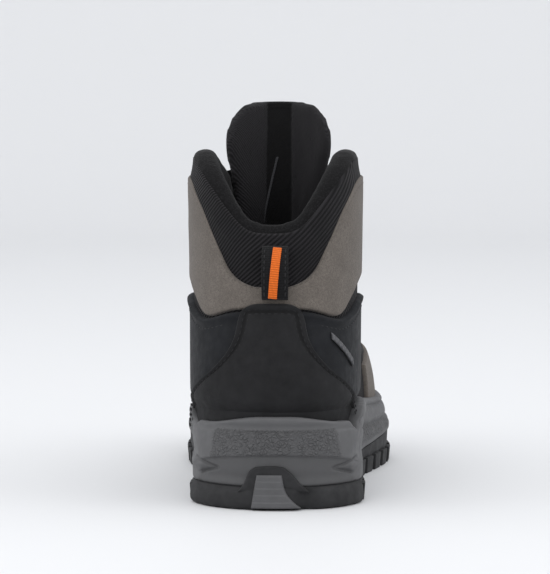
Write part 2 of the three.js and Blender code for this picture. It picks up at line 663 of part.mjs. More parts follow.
// A flat-footed ring that the lace runs through, open towards the middle if it is a hook.
function laceRing(row, side, isHook) {
  const w = RING_WIDTH / 2;
  const h = RING_HEIGHT / 2;
  const shape = new THREE.Shape();
  const [a, b] = [w - RING_WALL, h - RING_WALL];
  const across = -side; // towards the throat
  if (isHook) {
    const outline = [[w, -h], [-w, -h], [-w, h], [w, h], [w, b], [-a, b], [-a, -b], [w, -b]];
    shape.setFromPoints(outline.map(([x, z]) => new THREE.Vector2(x * across, z)));
  } else {
    shape.setFromPoints([[w, -h], [w, h], [-w, h], [-w, -h]].map(([x, z]) => new THREE.Vector2(x, z)));
    const hole = new THREE.Path();
    hole.setFromPoints([[a, -b], [-a, -b], [-a, b], [a, b]].map(([x, z]) => new THREE.Vector2(x, z)));
    shape.holes.push(hole);
  }
  const ring = new THREE.ExtrudeGeometry(shape, { depth: RING_LENGTH, bevelEnabled: false });
  ring.translate(0, 0, -RING_LENGTH / 2);
  const { here, out, up, across: sideways } = localFrame(ROWS[row], side * ringTurn(row));
  const basis = new THREE.Matrix4().makeBasis(sideways, out, up.clone());
  if (basis.determinant() < 0) basis.makeBasis(sideways, out, up.clone().negate());
  ring.applyMatrix4(basis);
  const centre = here.addScaledVector(out, RING_RAISE);
  ring.translate(centre.x, centre.y, centre.z);
  return ring;
}

// A curve whose equal steps fall on its own points.
class RoutedCurve extends THREE.CatmullRomCurve3 {
  getPointAt(share, target) {
    return this.getPoint(share, target);
  }

  getTangentAt(share, target) {
    return this.getTangent(share, target);
  }
}

function tube(points, diameter, sides, stepsEach = 1) {
  const circle = new THREE.Shape();
  const corners = Array.from({ length: sides }, (_, k) => {
    const a = (2 * Math.PI * k) / sides;
    return new THREE.Vector2((Math.cos(a) * diameter) / 2, (Math.sin(a) * diameter) / 2);
  });
  circle.setFromPoints(corners);
  const path = new RoutedCurve(points, false, "centripetal");
  const steps = (points.length - 1) * stepsEach;
  return new THREE.ExtrudeGeometry(circle, { steps, bevelEnabled: false, extrudePath: path });
}

const LACE_LOW = RING_RAISE + GAP;
const LACE_HIGH = LACE_LOW + LACE_DIAMETER + 0.8; // where one strand crosses over the other
const BAR_RAISE = RING_RAISE + 1.2;
const BAR_TURN = 9;
const KNOT_SHARE = 0.85;
const KNOT = [7, 4.5, 4]; // half sizes across, up and out
const knotPlace = localFrame(KNOT_SHARE, 0);
const KNOT_RAISE = RING_RAISE - 1.3;
const LACE_END = 0.42; // how far the lace stops short of the knot's middle, as a share of the last run

// One half of the lace, from the row after the bottom bar up to the knot.
function laceStrand(firstSide) {
  const points = [];
  let side = firstSide;
  ROWS.forEach((share, row) => {
    const turn = side * ringTurn(row);
    const { here, out, up } = localFrame(share, turn);
    const centre = here.addScaledVector(out, RING_RAISE);
    const run = RING_LENGTH / 2 + LACE_DIAMETER / 2 + 1;
    for (const step of [-run, 0, run]) {
      points.push(centre.clone().addScaledVector(up, step));
    }
    if (row < ROWS.length - 1) {
      const nextShare = (share + ROWS[row + 1]) / 2;
      const high = (row % 2 === 0) === (firstSide === 1) ? LACE_HIGH : LACE_LOW;
      const edge = throatTurn(share) * 0.45;
      const raise = mix(high, LACE_LOW, 0.3);
      points.push(acrossFoot(mix(share, nextShare, 0.62), side * edge, raise));
      points.push(acrossFoot(mix(ROWS[row + 1], nextShare, 0.62), -side * edge, raise));
      side = -side;
    }
  });
  const end = knotPlace.here.clone().addScaledVector(knotPlace.out, KNOT_RAISE);
  const bend = acrossFoot(ROWS[ROWS.length - 1] + 0.022, side * 16, BAR_RAISE);
  points.push(bend);
  points.push(end.clone().lerp(bend, LACE_END));
  return points;
}

function lace() {
  const left = laceStrand(-1).reverse();
  const right = laceStrand(1);
  const bar = [-BAR_TURN, BAR_TURN].map((turn) => acrossFoot(ROWS[0] - 0.03, turn, BAR_RAISE));
  return tube([...left, ...bar, ...right], LACE_DIAMETER, 6);
}

function laceKnot() {
  const ball = new THREE.SphereGeometry(1, 10, 6);
  ball.scale(KNOT[0], KNOT[2], KNOT[1]);
  const { across, out, up } = knotPlace;
  ball.applyMatrix4(new THREE.Matrix4().makeBasis(across, out, up.clone().negate()));
  const centre = knotPlace.here.clone().addScaledVector(knotPlace.out, KNOT_RAISE - 1);
  ball.translate(centre.x, centre.y, centre.z);
  return ball;
}

for (const [word, side] of SIDES) {
  ROWS.forEach((share, row) => {
    const isHook = row >= FIRST_HOOK;
    const kind = isHook ? "lace_hook" : "lace_loop";
    const number = isHook ? row - FIRST_HOOK + 1 : row + 1;
    const [color, metalness] = isHook ? [STEEL, 0.8] : [WEB_BLACK, 0];
    addPiece(`${kind}_${word}_${number}`, laceRing(row, side, isHook), color, 0.5, metalness);
  });
}
addPiece("lace", lace(), LACE_BLACK, 0.9);
addPiece("lace_knot", laceKnot(), LACE_BLACK, 0.9);
// The tails run down under the crossings, side by side on the tongue.
const TAIL_DIAMETER = LACE_DIAMETER - 0.4;
const TAIL_SHARES = [0.825, 0.785, 0.745, 0.705, 0.665];
for (const [word, side] of SIDES) {
  const raise = FRONT_LINING[0] - LAYER_GAP + GAP + 0.8 + TAIL_DIAMETER / 2;
  const tail = TAIL_SHARES.map((share, k) => acrossFoot(share, side * (4.5 + 2.2 * k), raise));
  addPiece(`lace_tail_${word}`, tube(tail, TAIL_DIAMETER, 6, 2), LACE_BLACK, 0.9);
}

// ---------------------------------------------------------------- heel pull loop and mark
const WEB = 1.2;
const LOOP_RAISE = OVERLAY[1] + GAP + 0.6; // inner leaf, over the lining line
const LOOP_OPEN = 6.5; // widest gap between the two leaves
const loopTop = LOOP_BASE + LOOP_HEIGHT;
const loopPoint = (z, raise) => {
  const p = aroundHeel(0, z, raise);
  return [p.y, z];
};
const LOOP_ROWS = 8;
const LOOP_LEAN = 1.2; // the inner leaf leans in by this much at its top
const flatLeaf = (t) => LOOP_RAISE - LOOP_LEAN * t;
const bellyOut = (t) => (LOOP_OPEN + 2 * WEB) * Math.sin(Math.PI * clamp(0.12 + 0.8 * t, 0, 1)) ** 0.6;
const loopShares = Array.from({ length: LOOP_ROWS + 1 }, (_, k) => k / LOOP_ROWS);

// Points of one leaf of the loop, upwards, as far out as raise(t) says.
function loopLeaf(shares, inset, raise) {
  return shares.map((t) => {
    const [y, z] = loopPoint(mix(LOOP_BASE + 1, loopTop - inset, t), raise(t));
    return new THREE.Vector2(y, z);
  });
}

function loopOutline(inset) {
  const inner = loopLeaf(loopShares, inset, (t) => flatLeaf(t) + inset);
  const outer = loopLeaf(loopShares, inset, (t) => flatLeaf(t) + bellyOut(t) - inset);
  return [...inner, ...outer.reverse()];
}
function alongX(shape, width) {
  const band = new THREE.ExtrudeGeometry(shape, { depth: width, bevelEnabled: false });
  band.translate(0, 0, -width / 2);
  band.applyMatrix4(new THREE.Matrix4().makeBasis(vec(0, 1, 0), vec(0, 0, 1), vec(1, 0, 0)));
  return band;
}
function pullLoop() {
  const outer = toSolid(alongX(new THREE.Shape(loopOutline(0)), LOOP_WIDTH));
  const inner = toSolid(alongX(new THREE.Shape(loopOutline(WEB)), LOOP_WIDTH + 4));
  return toGeometry(outer.subtract(inner));
}
addPiece("pull_loop", pullLoop(), WEB_BLACK, 0.9);

// The stripe is a narrow tape sewn along the outer leaf.
const STRIPE_WIDTH = 4.4;
const STRIPE_THICK = 0.6;
function loopStripe() {
  const shares = loopShares.map((t) => mix(0.05, 0.97, t));
  const inner = loopLeaf(shares, 0, (t) => flatLeaf(t) + bellyOut(t) + GAP);
  const outer = loopLeaf(shares, 0, (t) => flatLeaf(t) + bellyOut(t) + GAP + STRIPE_THICK);
  return alongX(new THREE.Shape([...inner, ...outer.reverse()]), STRIPE_WIDTH);
}
addPiece("pull_loop_stripe", loopStripe(), ORANGE, 0.8);

const MARK_FROM = [31, 81]; // turn and height of the two ends of the metal mark
const MARK_TO = [50, 68.5];
const MARK_WIDTH = 4;
addPiece("side_mark", slab(6, 1, (s, t, side) => {
  const turn = mix(MARK_FROM[0], MARK_TO[0], s);
  const z = mix(MARK_FROM[1], MARK_TO[1], s) + MARK_WIDTH * (t - 0.5);
  return aroundHeel(turn, z, TOP[0] + side * 1.1);
}), STEEL, 0.35, 0.9);

// ---------------------------------------------------------------- place the origin
const box = new THREE.Box3().setFromObject(boot);
boot.position.set(-(box.min.x + box.max.x) / 2, -(box.min.y + box.max.y) / 2, -box.min.z);

export default boot;
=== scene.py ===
"""Visual model of a right hiking boot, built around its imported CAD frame."""
import math

import bmesh
import bpy
import numpy as np
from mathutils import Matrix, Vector, kdtree


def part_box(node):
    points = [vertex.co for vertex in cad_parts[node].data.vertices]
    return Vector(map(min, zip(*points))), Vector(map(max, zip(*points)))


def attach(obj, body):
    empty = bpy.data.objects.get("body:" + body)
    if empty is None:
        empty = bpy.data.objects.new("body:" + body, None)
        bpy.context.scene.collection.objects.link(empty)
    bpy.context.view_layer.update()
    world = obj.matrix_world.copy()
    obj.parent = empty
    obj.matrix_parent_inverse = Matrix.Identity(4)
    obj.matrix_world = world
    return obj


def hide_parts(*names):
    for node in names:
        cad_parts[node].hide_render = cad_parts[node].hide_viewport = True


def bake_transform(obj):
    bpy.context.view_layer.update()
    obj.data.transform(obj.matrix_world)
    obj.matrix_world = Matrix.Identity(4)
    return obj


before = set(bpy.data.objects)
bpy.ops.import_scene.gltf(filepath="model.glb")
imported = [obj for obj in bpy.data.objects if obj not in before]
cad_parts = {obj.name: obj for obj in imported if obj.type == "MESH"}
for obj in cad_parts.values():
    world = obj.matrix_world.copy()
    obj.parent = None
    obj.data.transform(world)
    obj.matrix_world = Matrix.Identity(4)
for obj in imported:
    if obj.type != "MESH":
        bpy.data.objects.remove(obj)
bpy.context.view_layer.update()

bl_info = {
    "name": "Hiking boot",
    "version": (1, 0, 0),
    "blender": (4, 5, 0),
    "location": "View3D > Sidebar > Boot",
    "description": "Builds the sewn, moulded and laced pieces of a hiking boot",
    "category": "Object",
}

MM = 0.001
# The last is described from the back of the heel, in millimetres. The frame's origin is elsewhere.
LOOP_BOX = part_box("pull_loop")
MIDSOLE_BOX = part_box("midsole")
MIDSOLE_OVERHANG = 0.6  # how far the midsole stands behind the last's heel line
SHIFT = np.array([
    (LOOP_BOX[0][0] + LOOP_BOX[1][0]) / 2 / MM, MIDSOLE_BOX[0][1] / MM + MIDSOLE_OVERHANG, 0.0,
])

# ---------------------------------------------------------------- form of the last, in millimetres
SOLE_LENGTH = 300
BALL_LATERAL = 57
BALL_MEDIAL = 52
HEEL_WIDTH = 80
SHAFT_WIDTH = 79
RIM_BACK = 134.5
RIM_SIDE = 171
TONGUE_TOP = 196
HEEL_STACK = 44
BALL_STACK = 35
TOE_SPRING = 13
OUTSOLE_HEEL = 12
LUG_DEPTH = 5
ANKLE_Y = 58
LAST_INSET = 6
FOREFOOT_INSET = 5  # how much further the upper stands in from the sole edge at the ball
FOOT_FLOOR = 26
HEEL_ROUND = 44
TOE_ROUND = 86
BLEND = 12


def curve(*stations):
    """A smooth function through (position, value) stations, with level ends."""
    at = np.array([s[0] for s in stations], float)
    value = np.array([s[1] for s in stations], float)
    count = len(at)
    before = np.maximum(np.arange(count) - 1, 0)
    after = np.minimum(np.arange(count) + 1, count - 1)
    slope = (value[after] - value[before]) / (at[after] - at[before])

    def read(x):
        x = np.clip(np.asarray(x, float), at[0], at[-1])
        i = np.clip(np.searchsorted(at, x, side="right") - 1, 0, count - 2)
        h = at[i + 1] - at[i]
        t = (x - at[i]) / h
        ends = (2 * t**3 - 3 * t**2) * (value[i] - value[i + 1]) + value[i]
        return ends + h * ((t**3 - 2 * t**2 + t) * slope[i] + (t**3 - t**2) * slope[i + 1])

    return read


def mix(a, b, t):
    """a at share 0 and b at share 1."""
    return a + (b - a) * t


def ease(x, low, high):
    """0 below low, 1 above high, smooth between."""
    t = np.clip((np.asarray(x, float) - low) / (high - low), 0, 1)
    return t * t * (3 - 2 * t)


HEEL_HALF = HEEL_WIDTH / 2 + 2.5
BALL_HALF = (BALL_LATERAL + BALL_MEDIAL) / 2
centre_x = curve((0, 0), (120, 0), (200, (BALL_LATERAL - BALL_MEDIAL) / 2), (260, -2), (300, -7))
sole_half = curve(
    (0, HEEL_HALF - 3), (45, HEEL_HALF), (95, HEEL_HALF - 3), (130, HEEL_HALF - 1), (165, BALL_HALF - 5.5),
    (200, BALL_HALF), (235, BALL_HALF - 1.5), (270, BALL_HALF - 7), (SOLE_LENGTH, BALL_HALF - 12))
feather = curve(
    (0, HEEL_STACK), (70, HEEL_STACK + 1), (125, mix(BALL_STACK, HEEL_STACK, 0.6)), (195, BALL_STACK),
    (245, BALL_STACK + 2), (SOLE_LENGTH, BALL_STACK + 9))
tread_high = curve(
    (0, OUTSOLE_HEEL - 1.2), (80, OUTSOLE_HEEL - 1.8), (130, OUTSOLE_HEEL + 1), (195, OUTSOLE_HEEL + 5),
    (255, OUTSOLE_HEEL + 9), (SOLE_LENGTH, OUTSOLE_HEEL + 18))
instep_top = curve((0, 62), (110, 88), (150, 84), (185, 66), (220, 54), (255, 45), (300, 40))
BALL_LAST = BALL_HALF - LAST_INSET  # half the last's width at the ball, before the forefoot's inset
foot_half = curve(
    (0, 30), (70, HEEL_HALF - 9), (120, HEEL_HALF - 6), (165, BALL_LAST - 5.5 - FOREFOOT_INSET * 0.7),
    (200, BALL_LAST - FOREFOOT_INSET), (235, BALL_LAST - 1.5 - FOREFOOT_INSET * 0.9),
    (270, BALL_LAST - 8 - FOREFOOT_INSET * 0.5), (SOLE_LENGTH, BALL_LAST - 13))
shaft_half = curve(
    (30, SHAFT_WIDTH / 2 - 2.5), (60, SHAFT_WIDTH / 2 - 1), (100, SHAFT_WIDTH / 2 - 0.5),
    (RIM_BACK, SHAFT_WIDTH / 2), (RIM_SIDE - 10, SHAFT_WIDTH / 2), (TONGUE_TOP + 10, SHAFT_WIDTH / 2 - 4))
shaft_back = curve(
    (30, 12), (44, 8.5), (62, 6), (80, 7), (100, 11), (120, 14.5), (RIM_BACK, 14), (RIM_SIDE, 8),
    (TONGUE_TOP + 10, 6))
shaft_front = curve((30, 118), (100, 124), (140, 124), (RIM_SIDE, 128), (TONGUE_TOP + 10, 137))
spine_y = curve((0, 232), (0.25, 175), (0.5, 112), (0.75, 76), (1, 70))
spine_z = curve((0, 40), (0.25, 46), (0.5, 70), (0.75, 118), (1, TONGUE_TOP - 7))
spine_lean = curve((0, 0), (0.25, 18), (0.5, 48), (0.75, 76), (1, 86))
throat_turn = curve((0.2, 13), (0.3, 22), (0.5, 24), (0.75, 22), (1, 24))
rim = curve(
    (0, RIM_BACK), (12, RIM_BACK + 0.8), (20, RIM_BACK + 4), (32, RIM_BACK + 13.5), (45, RIM_SIDE - 13),
    (57, RIM_SIDE - 6.5), (75, RIM_SIDE - 1), (90, RIM_SIDE), (105, RIM_SIDE), (120, RIM_SIDE - 1.5),
    (140, RIM_SIDE - 8), (157, RIM_SIDE - 20))
suede_top = curve((0, 105.5), (12, 106), (26, 113), (37, 128), (50, 144), (69, 155), (108, 158))
suede_bottom = curve((0, 95.2), (20, 94.4), (42, 91), (60, 99), (80, 106), (108, 110))
quarter_top = curve((0, 94), (20, 93.4), (42, 89.8), (60, 92.5), (80, 97), (110, 99), (150, 84))
tongue_turn = curve((0.25, 12), (0.35, 24), (0.6, 29), (0.85, 34), (0.93, 40), (1, 40))


def end_share(y, inset=0.0):
    """How far station y lies into the rounded heel or toe: 1 at the inset end."""
    heel = (HEEL_ROUND - y) / (HEEL_ROUND - inset)
    toe = (y - (SOLE_LENGTH - TOE_ROUND)) / (TOE_ROUND - inset)
    return np.maximum(0, np.maximum(heel, toe))


def sole_edge(y, side, inset):
    """Edge of the sole at station y, on side +1 (lateral) or -1 (medial), drawn in by an inset."""
    round_off = (1 - np.minimum(1, end_share(y, inset)) ** 2.3) ** (1 / 2.3)
    return centre_x(y) + side * (sole_half(y) - inset) * round_off


def last_field(p):
    """Below zero inside the lining line of the upper, above zero outside."""
    x, y, z = p[..., 0], p[..., 1], p[..., 2]
    up = np.maximum(0, (z - FOOT_FLOOR) / instep_top(y))
    across = np.abs((x - centre_x(y)) / foot_half(y))
    foot = ((across**2.4 + up**2.4 + end_share(y, LAST_INSET) ** 2.4) ** (1 / 2.4) - 1) * 42
    front, back = shaft_front(z), shaft_back(z)
    ring = np.abs(x / shaft_half(z)) ** 2.25 + np.abs((y - (front + back) / 2) / ((front - back) / 2)) ** 2.25
    shaft = (ring ** (1 / 2.25) - 1) * 42
    share = np.clip(0.5 + 0.5 * (shaft - foot) / BLEND, 0, 1)
    return mix(shaft, foot, share) - BLEND * share * (1 - share)


def last_normal(p):
    """Outward direction of the lining line."""
    step = 0.1
    slopes = []
    for axis in range(3):
        e = np.zeros(3)
        e[axis] = step
        slopes.append(last_field(p + e) - last_field(p - e))
    return unit(np.stack(slopes, -1))


def on_last(origin, direction):
    """Where rays from inside meet the lining line, and the outward normals there."""
    origin, direction = np.broadcast_arrays(origin, direction)
    far = np.full(origin.shape[:-1], 4.0)
    for _ in range(64):
        inside = last_field(origin + direction * far[..., None]) < 0
        if not inside.any():
            break
        far = np.where(inside, far + 4, far)
    near = far - 4
    for _ in range(16):
        half = (near + far) / 2
        inside = last_field(origin + direction * half[..., None]) < 0
        near = np.where(inside, half, near)
        far = np.where(inside, far, half)
    p = origin + direction * near[..., None]
    return p, last_normal(p)


def around_heel(turn, z):
    """Around the ankle: turn in degrees from the back of the heel, + to the lateral side."""
    turn, z = np.broadcast_arrays(np.radians(turn), np.asarray(z, float))
    zero = np.zeros_like(z)
    origin = np.stack([zero, zero + ANKLE_Y, z], -1)
    return on_last(origin, np.stack([np.sin(turn), -np.cos(turn), zero], -1))


def across_foot(share, turn):
    """Across the foot: share 0 at the ball to 1 at the top of the shaft, turn from the middle line."""
    share, turn = np.broadcast_arrays(np.asarray(share, float), np.radians(turn))
    lean = np.radians(spine_lean(share))
    origin = np.stack([np.zeros_like(share), spine_y(share), spine_z(share)], -1)
    direction = np.stack([np.sin(turn), np.cos(turn) * np.sin(lean), np.cos(turn) * np.cos(lean)], -1)
    return on_last(origin, direction)


# ---------------------------------------------------------------- mesh building
def to_frame(points):
    """Last millimetres to the frame's metres."""
    return (np.asarray(points, float) + SHIFT) * MM


def linked(name, data):
    """A new object around some data, in the scene's collection."""
    obj = bpy.data.objects.new(name, data)
    bpy.context.scene.collection.objects.link(obj)
    return obj


def new_object(name, verts, faces, material):
    """A smooth mesh object."""
    mesh = bpy.data.meshes.new(name)
    mesh.from_pydata([tuple(v) for v in verts], [], [tuple(f) for f in faces])
    mesh.update()
    mesh.materials.append(material)
    mesh.shade_smooth()
    return linked(name, mesh)


def object_of(bm, name, material):
    """An object made from a bmesh, which is freed."""
    mesh = bpy.data.meshes.new(name)
    bm.to_mesh(mesh)
    bm.free()
    mesh.materials.append(material)
    return linked(name, mesh)


def tube_faces(rows, count, base=0):
    """Faces of a tube of rings, with one face over each end."""
    faces = []
    for row in range(rows - 1):
        for k in range(count):
            a, b = base + row * count + k, base + row * count + (k + 1) % count
            faces.append((a, b, b + count, a + count))
    last = base + (rows - 1) * count
    return faces + [tuple(range(base, base + count))[::-1], tuple(range(last, last + count))]


def fix_normals(obj):
    """Turn every face outwards."""
    bm = bmesh.new()
    bm.from_mesh(obj.data)
    bmesh.ops.recalc_face_normals(bm, faces=bm.faces[:])
    bm.to_mesh(obj.data)
    bm.free()
    return obj


def unit(v):
    """Vectors of length 1 along the last axis."""
    return v / np.linalg.norm(v, axis=-1, keepdims=True)


def finish_piece(obj, body, slot, *replaced):
    """Ride on a body and stand for CAD pieces. The slot argument is not used."""
    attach(obj, body)
    if replaced:
        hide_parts(*replaced)
    return obj


def set_attribute(obj, name, values):
    layer = obj.data.attributes.new(name, "FLOAT", "POINT")
    layer.data.foreach_set("value", np.asarray(values, np.float32).ravel())


def points_of(obj):
    """Vertex positions of an object, as rows."""
    co = np.empty(len(obj.data.vertices) * 3)
    obj.data.vertices.foreach_get("co", co)
    return co.reshape(-1, 3)


def rounded(distance, radius):
    """Share of full height at a distance inside an edge of that radius."""
    return np.sqrt(np.clip(1 - (1 - np.clip(distance / radius, 0, 1)) ** 2, 0, 1))


def refined(count, fine, steps=4):
    """Shares from 0 to 1, with extra steps within a fine share of both ends."""
    lead = fine * (1 - np.cos(np.linspace(0, math.pi / 2, steps + 1)))
    middle = np.linspace(fine, 1 - fine, max(2, count))[1:-1]
    return np.concatenate([lead, middle, 1 - lead[::-1]])


def run_length(p, axis):
    """Distance along one grid direction, from its start."""
    step = np.linalg.norm(np.diff(p, axis=axis), axis=-1)
    total = np.cumsum(step, axis=axis)
    first = np.zeros_like(np.take(total, [0], axis=axis))
    return np.concatenate([first, total], axis=axis)


def panel(name, place, low, high, size, roll, kind, relief=None, open_edges="", fine=0.03):
    """A layer of the upper with rolled edges.

    place(s, t) gives points and normals. The outer face stands high above the lining line and
    rolls down to low at the edges, apart from open_edges, some of "abcd": s = 0, s = 1, t = 0, t = 1.
    relief(along, up, edge, p) adds to the outer height, in millimetres.
    """
    s, t = np.meshgrid(refined(size[0], fine), refined(size[1], fine), indexing="ij")
    p, n = place(s, t)
    along, up = run_length(p, 0), run_length(p, 1)
    sides = {"a": along, "b": along[-1:] - along, "c": up, "d": up[:, -1:] - up}
    edge = np.full(s.shape, 1e3)
    for key, distance in sides.items():
        if key not in open_edges:
            edge = np.minimum(edge, distance)
    low = low(s, t) if callable(low) else low
    height = mix(low, high, rounded(edge, roll))
    if relief is not None:
        height = height + relief(along, up, edge, p) * np.clip(edge / roll, 0, 1)
    outer = p + n * np.asarray(height)[..., None]
    inner = p + n * (np.zeros(s.shape) + low - 0.25)[..., None]
    return grid_body(name, outer, inner, finish_of(kind), along, up, edge)


def layer(name, node, slot, kind, place, low, high, size, roll, **shape):
    """A panel on the boot's body that stands for one CAD piece."""
    return finish_piece(panel(name, place, low, high, size, roll, kind, **shape), "boot", slot, node)


def grid_body(name, outer, inner, material, along=None, up=None, edge=None):
    """One closed body between two grids of points."""
    rows, columns = outer.shape[:2]
    count = rows * columns
    index = np.arange(count).reshape(rows, columns)
    quads = np.stack([index[:-1, :-1], index[1:, :-1], index[1:, 1:], index[:-1, 1:]], -1).reshape(-1, 4)
    faces = [quads, quads[:, ::-1] + count]
    ring = np.concatenate([index[:, 0], index[-1, 1:], index[-2::-1, -1], index[0, -2:0:-1]])
    following = np.roll(ring, -1)
    faces.append(np.stack([following, ring, ring + count, following + count], -1))
    faces = np.concatenate(faces)
    verts = to_frame(np.concatenate([outer.reshape(-1, 3), inner.reshape(-1, 3)]))
    a, b, c = (verts[faces[:, k]] for k in (0, 1, 2))
    d = verts[faces[:, 3]]
    volume = (a * np.cross(b, c)).sum() + (a * np.cross(c, d)).sum()
    if volume < 0:
        faces = faces[:, ::-1]
    obj = new_object(name, verts, faces.tolist(), material)
    for key, values in (("along", along), ("up", up), ("edge", edge)):
        if values is not None:
            set_attribute(obj, key, np.tile(values.ravel(), 2))
    return obj


def heel_place(turn_from, turn_to, low, high):
    """A place for a panel around the heel, between two heights that follow the turn."""
    def place(s, t):
        turn = mix(turn_from, turn_to, s)
        return around_heel(turn, mix(low(np.abs(turn)), high(np.abs(turn)), t))
    return place


STITCH_GAP = 1.0
STITCH_SIDES = 6
STITCH_FORM = ((-0.5, 0.25), (-0.36, 0.8), (0.0, 1.0), (0.36, 0.8), (0.5, 0.25))  # (place, thickness)


def stitch_row(name, points, normals, kind="thread", slot="leather_black", body="boot", radius=0.36):
    """Thread stitches laid along a line of points on a surface, as one piece."""
    total = run_length(points, 0)
    length = sizes().stitch_length / MM
    verts, faces = [], []
    at = 0

    def read(where, rows):
        return np.array([np.interp(where, total, rows[:, k]) for k in range(3)])

    while at + length < total[-1]:
        middle = at + length / 2
        centre, out = read(middle, points), read(middle, normals)
        run = unit(read(middle + 0.6, points) - centre)
        side = unit(np.cross(out, run))
        faces += tube_faces(len(STITCH_FORM), STITCH_SIDES, len(verts))
        for offset, fat in STITCH_FORM:
            for k in range(STITCH_SIDES):
                angle = 2 * math.pi * k / STITCH_SIDES
                ray = side * math.cos(angle) + out * math.sin(angle) * 0.8
                verts.append(centre + run * offset * length + ray * radius * fat)
        at += length + STITCH_GAP
    return finish_piece(new_object(name, to_frame(verts), faces, finish_of(kind)), body, slot)


def sew(name, place, span, across, raise_by, **thread_of):
    """A row of stitches along a placed panel: s over a span of (from, to, points), at one t."""
    line = np.linspace(*span)
    p, n = place(line[:, None], np.full((len(line), 1), across))
    p, n = p[:, 0], n[:, 0]
    return stitch_row(name, p + n * raise_by, n, **thread_of)


# ---------------------------------------------------------------- materials
class Shading:
    """A small builder for one procedural material."""

    def __init__(self, name, colour, roughness, **sockets):
        self.material = bpy.data.materials.new(name)
        self.material.use_nodes = True
        self.tree = self.material.node_tree
        self.shader = self.tree.nodes["Principled BSDF"]
        self.shader.inputs["Base Color"].default_value = (*colour, 1)
        self.shader.inputs["Roughness"].default_value = roughness
        self.shader.inputs["Specular IOR Level"].default_value = 0.15
        for socket, value in sockets.items():
            self.shader.inputs[socket.replace("_", " ")].default_value = value
        self.place = self.node("ShaderNodeTexCoord").outputs["Object"]

    def node(self, kind, **inputs):
        made = self.tree.nodes.new(kind)
        for name, value in inputs.items():
            self.feed(made.inputs[name.replace("_", " ")], value)
        return made

    def feed(self, socket, value):
        if hasattr(value, "is_output"):
            self.tree.links.new(value, socket)
        else:
            socket.default_value = value

    def noise(self, scale, detail=3.0, roughness=0.5):
        made = self.node("ShaderNodeTexNoise", Scale=scale, Detail=detail, Roughness=roughness,
                         Vector=self.place)
        return made.outputs["Fac"]

    def cells(self, scale, feature="F1"):
        made = self.node("ShaderNodeTexVoronoi", Scale=scale, Vector=self.place)
        made.feature = feature
        return made.outputs["Distance"]

    def math(self, operation, a, b=0.0, c=0.0):
        made = self.tree.nodes.new("ShaderNodeMath")
        made.operation = operation
        for k, value in enumerate((a, b, c)):
            self.feed(made.inputs[k], value)
        return made.outputs[0]

    def attribute(self, name):
        made = self.node("ShaderNodeAttribute")
        made.attribute_name = name
        return made.outputs["Fac"]

    def ribs(self, along, up, pitch):
        """Waves of one pitch, in millimetres, across the along and up attributes."""
        flat = self.math("ADD", self.math("MULTIPLY", self.attribute("along"), along),
                         self.math("MULTIPLY", self.attribute("up"), up))
        wave = self.math("SINE", self.math("MULTIPLY", flat, 2 * math.pi / pitch))
        return self.math("MULTIPLY_ADD", wave, 0.5, 0.5)

    def range(self, value, low, high, to_low=0.0, to_high=1.0):
        made = self.node("ShaderNodeMapRange")
        for socket, number in (("Value", value), ("From Min", low), ("From Max", high),
                               ("To Min", to_low), ("To Max", to_high)):
            self.feed(made.inputs[socket], number)
        return made.outputs[0]

    def blend(self, share, first, second):
        made = self.tree.nodes.new("ShaderNodeMix")
        made.data_type = "RGBA"
        self.feed(made.inputs[0], share)
        for socket, colour in ((made.inputs[6], first), (made.inputs[7], second)):
            self.feed(socket, colour if hasattr(colour, "is_output") else (*colour, 1))
        return made.outputs[2]

    def colour(self, value):
        self.feed(self.shader.inputs["Base Color"], value)

    def roughness(self, value):
        self.feed(self.shader.inputs["Roughness"], value)

    def bump(self, *layers):
        """Layers of (height, strength, distance in millimetres), the coarsest first."""
        normal = None
        for height, strength, distance in layers:
            made = self.node("ShaderNodeBump", Strength=strength, Distance=distance * MM)
            self.tree.links.new(height, made.inputs["Height"])
            if normal is not None:
                self.tree.links.new(normal, made.inputs["Normal"])
            normal = made.outputs["Normal"]
        self.tree.links.new(normal, self.shader.inputs["Normal"])
        return self.material


def shade(colour, factor):
    """A colour made darker or lighter."""
    return tuple(min(1.0, c * factor) for c in colour)


def nubuck(name, colour, wear=1.6, channel=None):
    """Matte buffed leather: fine pores, soft cloudy tone, edges paler from wear, and painted shade along the
    stitch channel when one is given.
    """
    m = Shading(name, colour, 0.72, Sheen_Weight=0.03, Sheen_Roughness=0.45)
    cloud = m.noise(70, 4, 0.6)
    tone = m.blend(m.range(cloud, 0.3, 0.7), shade(colour, 0.82), shade(colour, 1.22))
    rubbed = m.range(m.noise(320, 5, 0.7), 0.35, 0.75)
    scuff = m.math("MULTIPLY", m.range(m.attribute("edge"), 1.6, 0.0), rubbed)
    wear_and_channel_shade = m.blend(scuff, tone, shade(colour, wear))
    # Painted shade: darker along the stitch channel, the recess that the counter's relief presses in.
    if channel is not None:
        off = m.math("ABSOLUTE", m.math("SUBTRACT", m.attribute("edge"), channel))
        wear_and_channel_shade = m.blend(m.math("MULTIPLY", m.range(off, 1.5, 0.5), 0.75), wear_and_channel_shade, shade(colour, 0.25))
    m.colour(wear_and_channel_shade)
    m.roughness(m.range(m.noise(240, 3), 0.2, 0.8, 0.58, 0.84))
    pores = (m.cells(1500), 0.25, 0.12)
    return m.bump((m.noise(260, 4, 0.6), 0.22, 0.5), pores, (m.noise(4200, 2), 0.3, 0.06))


